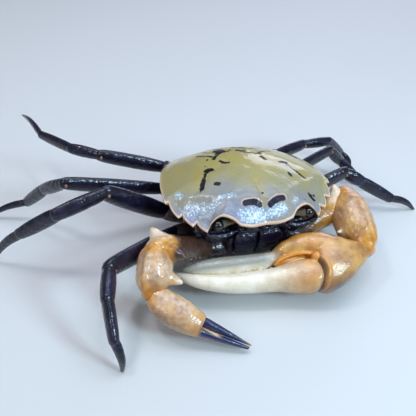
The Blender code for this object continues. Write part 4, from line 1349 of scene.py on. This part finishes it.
def small_finger_paint(co):
    reach = in_right(co)[0]
    return {"glow": 0.3 * ease(reach, 22.0, 24.0), "navy": 1.0 - 0.8 * ease(reach, 23.0, 24.2)}


skins = [hand_skin("claw_right", SMALL_PALM, 16), hand_skin("claw_right", SMALL_FIXED, 24)]
small_hand = fused(skins, FINE_VOXEL, 2)
roughen(small_hand, lambda co: noise.noise(co * 0.5) * 0.14 * ease(in_right(co)[0], 12, 9))
claw_piece(small_hand, "small_hand", "claw_right_hand", small_hand_paint)
small_finger = fused([hand_skin("claw_right", SMALL_FINGER, 30)], 0.16, 1)
claw_piece(small_finger, "small_finger", "claw_right_finger", small_finger_paint)
print("claws made")

# %% [markdown]
# ## Eyes, feelers and mouth
#
# The eyes are black beads on short stalks that lie in the sockets under the brow: glassy to
# the eye, so their coat is the smoothest here. Between them fold two pairs of feelers. Two
# flat doors close the mouth: each has a long lower plate, a square upper one and a slim rod
# along its outer edge. They are dark wet chitin with a coarse grain.

# %% Eyes, feelers and mouth
EYE_FINISH = plain_finish("wet_black_eye", "#07070a", 0.06, ior=1.5)
STALK_FINISH = plain_finish("soft_stalk_skin", "#5f5340", 0.35, flesh=0.1)
FACE_FINISH = plain_finish("wet_face_chitin", "#0f0c26", 0.3, grain=0.3)
EYE_OUTWARD = {1: 11.0, -1: 10.1}
EYE_ROOT, EYE_NECK = (4.6, -7.2), (3.7, -6.9)
EYE_RADIUS, FEELER_RADIUS = 1.4, 0.55
STALK_OUTLINE = ((0, 0.8, 0.8), (0.5, 0.85, 0.85), (0.85, 1.05, 1.05), (1, 1.1, 1.1))
FEELER_ENDS = ((4.9, 4.2, -8.2), (6.4, 1.4, -9.0))
FEELER_OUTLINE = ((0, 1, 1), (0.45, 1, 1), (0.55, 0.6, 0.6), (1, 0.4, 0.4))
UPPER_DOOR = ((-10.8, 4.0, 6.2), (-11.8, 3.3, 7.4), (-13.2, 3.1, 7.6), (-14.5, 3.2, 7.3))  # z, y, outer edge
LOWER_DOOR = ((-14.6, 3.4, 7.2), (-15.6, 3.2, 7.2), (-17.2, 3.7, 6.6), (-18.8, 4.4, 5.7), (-19.8, 5.2, 4.4))
DOOR_INNER, DOOR_OUTER_SHARE, DOOR_THICK = 0.25, 0.8, 1.0
ROD_PATH = ((7.0, 3.9, -11.6), (7.2, 3.8, -14.5), (6.2, 4.6, -18.2), (5.2, 5.6, -19.8))
DOWN, FORWARD = Vector((0, 0, -1)), Vector((0, -1, 0))


def on_side(side, points):
    """Points of the left half, or their mirror image."""
    return [Vector((side * x, y, z)) for x, y, z in points]


def door_plate(side, rows):
    """One flat plate of a mouth door, drawn downwards through its rows."""
    stations = []
    for z, y, outer in rows:
        outer *= DOOR_OUTER_SHARE
        centre = Vector((side * (DOOR_INNER + outer) / 2, y + DOOR_THICK, z))
        stations.append(station(centre, DOWN, FORWARD, (outer - DOOR_INNER) / 2, DOOR_THICK))
    return sweep(stations, 24, rounded(0.6))


for word, side in SIDES.items():
    outward = EYE_OUTWARD[side]
    root, neck = on_side(side, ((outward - 3.4, *EYE_ROOT), (outward, *EYE_NECK)))
    stalk = limb_skin(root, neck, STALK_OUTLINE, 1.0, 1.0, ends=(0, 0.4))
    piece(stalk, f"eyestalk_{word}_skin", STALK_FINISH, [f"eyestalk_{word}"])
    eye = ball(neck + (neck - root).normalized() * 0.8, (EYE_RADIUS,) * 3, rings=16)
    piece(eye, f"eye_{word}_bead", EYE_FINISH, [f"eye_{word}"])
    feeler = limb_skin(*on_side(side, FEELER_ENDS), FEELER_OUTLINE, FEELER_RADIUS, FEELER_RADIUS)
    piece(feeler, f"antenna_{word}_skin", FACE_FINISH, [f"antenna_{word}"])
    rod_path = smooth_path(on_side(side, ROD_PATH), 12)
    rod = sweep([station(p, w, FORWARD, 0.62, 0.75) for p, w in zip(rod_path, ways_along(rod_path))], 14)
    door = fused([door_plate(side, UPPER_DOOR), door_plate(side, LOWER_DOOR), rod], FINE_VOXEL, 2)
    piece(door, f"mouth_door_{word}", FACE_FINISH, [f"maxilliped_{word}"], smooth=0)
print("eyes, feelers and doors made")

# %% [markdown]
# Under each eye runs the lower edge of its socket, set with grains. The small inner feelers
# lie folded under the brow on both sides of a short wall, and a bar above the mouth closes
# the face.

# %% Sockets and the small feelers
SOCKET_EDGE = ((13.7, 2.7, -7.6), (12.6, 2.9, -9.0), (10.2, 2.9, -9.7), (7.9, 3.1, -9.5), (6.6, 3.4, -8.8))
FEELER_FOLD = ((0.9, 2.7, -8.0), (2.2, 2.0, -7.7), (3.7, 2.0, -7.3), (3.9, 2.3, -7.9), (2.4, 2.2, -8.5))
MOUTH_BAR = ((-6.4, 4.3, -10.1), (-3.0, 3.7, -9.9), (0, 3.4, -9.7), (3.0, 3.7, -9.9), (6.4, 4.3, -10.1))
SOCKET_GRAIN = 0.26

face = [cord_skin([Vector(p) for p in MOUTH_BAR], 0.75), ball((0, 2.9, -8.0), (0.55, 1.3, 1.6))]
for side in SIDES.values():
    face += [cord_skin(on_side(side, SOCKET_EDGE), 0.7), cord_skin(on_side(side, FEELER_FOLD), 0.5)]
    face.append(ball((side * 5.0, 4.0, -8.4), (1.2, 1.1, 0.9)))
    face.append(ball((side * 9.6, 6.3, -11.6), (4.2, 2.6, 2.6)))
    for grain in smooth_path(on_side(side, ((x, y - 0.62, z) for x, y, z in SOCKET_EDGE)), 17):
        face.append(ball(grain, (SOCKET_GRAIN,) * 3, rings=4))
face = fused(face, FINE_VOXEL, 2)
roughen(face, lambda co: noise.noise(co * 1.6) * 0.08)
piece(face, "face", FACE_FINISH, smooth=0)

# %% [markdown]
# ## Underside
#
# The breast is a broad bowl of fused plates. The short first segments of the limbs come out
# of its sides. The tail is folded forward under it: in a male it is narrow. The chitin here is
# thin and satin, buff to the eye where it faces down and dark brown up the sides.

# %% Underside
THORAX_RINGS = ((0.0, 0.68), (0.3, 0.75), (0.65, 0.73), (0.88, 0.64), (1.0, 0.52))
BODY_BOTTOM = -20.6
TAIL_PATH = (
    (0, 33.2, -11.9), (0, 33.8, -15), (0, 32.4, -18.2), (0, 28.4, -20.9), (0, 20.5, -21.4), (0, 12.5, -21.2),
)
TAIL_WIDTHS = ((7.4, 0, 0), (8.2, 0, 0), (7.4, 0, 0), (4.6, 0, 0), (2.8, 0, 0), (1.5, 0, 0))
TAIL_COUNT, TAIL_PLATES = 37, 6
SOCKET_RADIUS = {"leg": 2.4, "claw": 3.1}
COXA_OUTLINE = ((0, 1, 1), (0.5, 1.05, 1.05), (0.85, 0.95, 0.95), (1, 0.85, 0.85))
BREAST_GROOVES, GROOVE_DEPTH = (9.5, 13.2, 17.4, 21.6, 25.6), 0.4
BELLY_CLOUD_SIZE = 3.333  # mm


def socket_joint(root):
    """Where a limb's short first segment starts, inside the body."""
    return Vector((root.x * 0.55, root.y + (16 - root.y) * 0.15, -17.0))


def breast_skin():
    outline = [p.to_2d() for p in roots[::4]]
    middle = SHELL_MIDDLE.to_2d()
    bm = bmesh.new()
    ring = bmesh.ops.create_circle(bm, segments=len(outline), radius=1.0)["verts"]
    order = list(ring)
    for number, (depth, share) in enumerate(THORAX_RINGS):
        places = []
        for p in outline:
            out = (p - middle) * share
            place = middle + Vector((out.x * 0.94, out.y * 0.98))
            top = SPLIT_Z + SPLIT_SLOPE * (place.y - 5) + 0.4
            places.append(Vector((*place, top + (BODY_BOTTOM - top) * depth)))
        if number:
            order = grow(bm, order, places)
        else:
            for vert, place in zip(order, places):
                vert.co = place
    bmesh.ops.holes_fill(bm, edges=[e for e in bm.edges if e.is_boundary])
    bmesh.ops.recalc_face_normals(bm, faces=bm.faces)
    return bm


def belly_finish():
    made, tree, shader, place = start_finish("belly_chitin", 0.34, 1.5, coat=0.9)
    under = add(tree, "Attribute", out="Fac", attribute_name="under")
    clouds = add(tree, "TexNoise", place, None, 1 / BELLY_CLOUD_SIZE, 4.0)
    patch = add(tree, "MapRange", clouds, 0.35, 0.65)
    pale = laid_over(tree, "#a1845c", (patch, "#c2ad84"))
    colour = laid_over(tree, "#1c1319", (patch, "#382628"), (under, pale))
    end_finish(tree, shader, place, colour, size=0.909, depth=0.2)
    return made


def breast_relief(co):
    """Grooves between the plates of the breast."""
    if co.z > -18.5:
        return 0.0
    return -GROOVE_DEPTH * sum(falloff(co.y - groove + 0.12 * abs(co.x), 0.5) for groove in BREAST_GROOVES)


BELLY_FINISH = belly_finish()
coxae = []
for table, kind in ((LEG_JOINTS, "leg"), (CLAW_JOINTS, "claw")):
    for joints in table.values():
        root, radius = Vector(joints[0]), SOCKET_RADIUS[kind]
        coxae.append(limb_skin(socket_joint(root), root, COXA_OUTLINE, radius, radius, ends=(0, 0.8)))
breast = fused([breast_skin(), *coxae], 0.4, 3)
roughen(breast, breast_relief)
note(breast, under=lambda co: ease(co.z, -17.6, -19.4) * (1 + 1.3 * breast_relief(co)))
piece(breast, "breast", BELLY_FINISH, ["thorax"], smooth=0)
print("breast faces:", len(bpy.data.meshes["breast"].polygons))

# %% [markdown]
# ## The tail
#
# The tail is one flat tube, broad at its root and narrow at its end, that turns down over
# the rear edge and runs forward under the breast. It is pinched a little and darker at each
# seam, which is all that shows of its plates.

# %% Tail
tail_path, tail_widths = smooth_path(TAIL_PATH, TAIL_COUNT), smooth_path(TAIL_WIDTHS, TAIL_COUNT)
tail_stations = []
for i, (p, width, way) in enumerate(zip(tail_path, tail_widths, ways_along(tail_path))):
    thick = 0.85 - 0.4 * (i % TAIL_PLATES == 0)
    tail_stations.append(station(p, way, Vector((1, 0, 0)).cross(way), width.x, thick))
tail = sweep(tail_stations, 28, rounded(0.6))
reach, under = tail.verts.layers.float["reach"], tail.verts.layers.float.new("under")
for vert in tail.verts:
    plates = vert[reach] * TAIL_PLATES
    seam = abs(plates - round(plates)) < 0.05
    vert[under] = ease(vert.co.z, -15, -19) * (0.45 if seam else 1.0)
piece(tail, "tail", BELLY_FINISH, ["abdomen"])
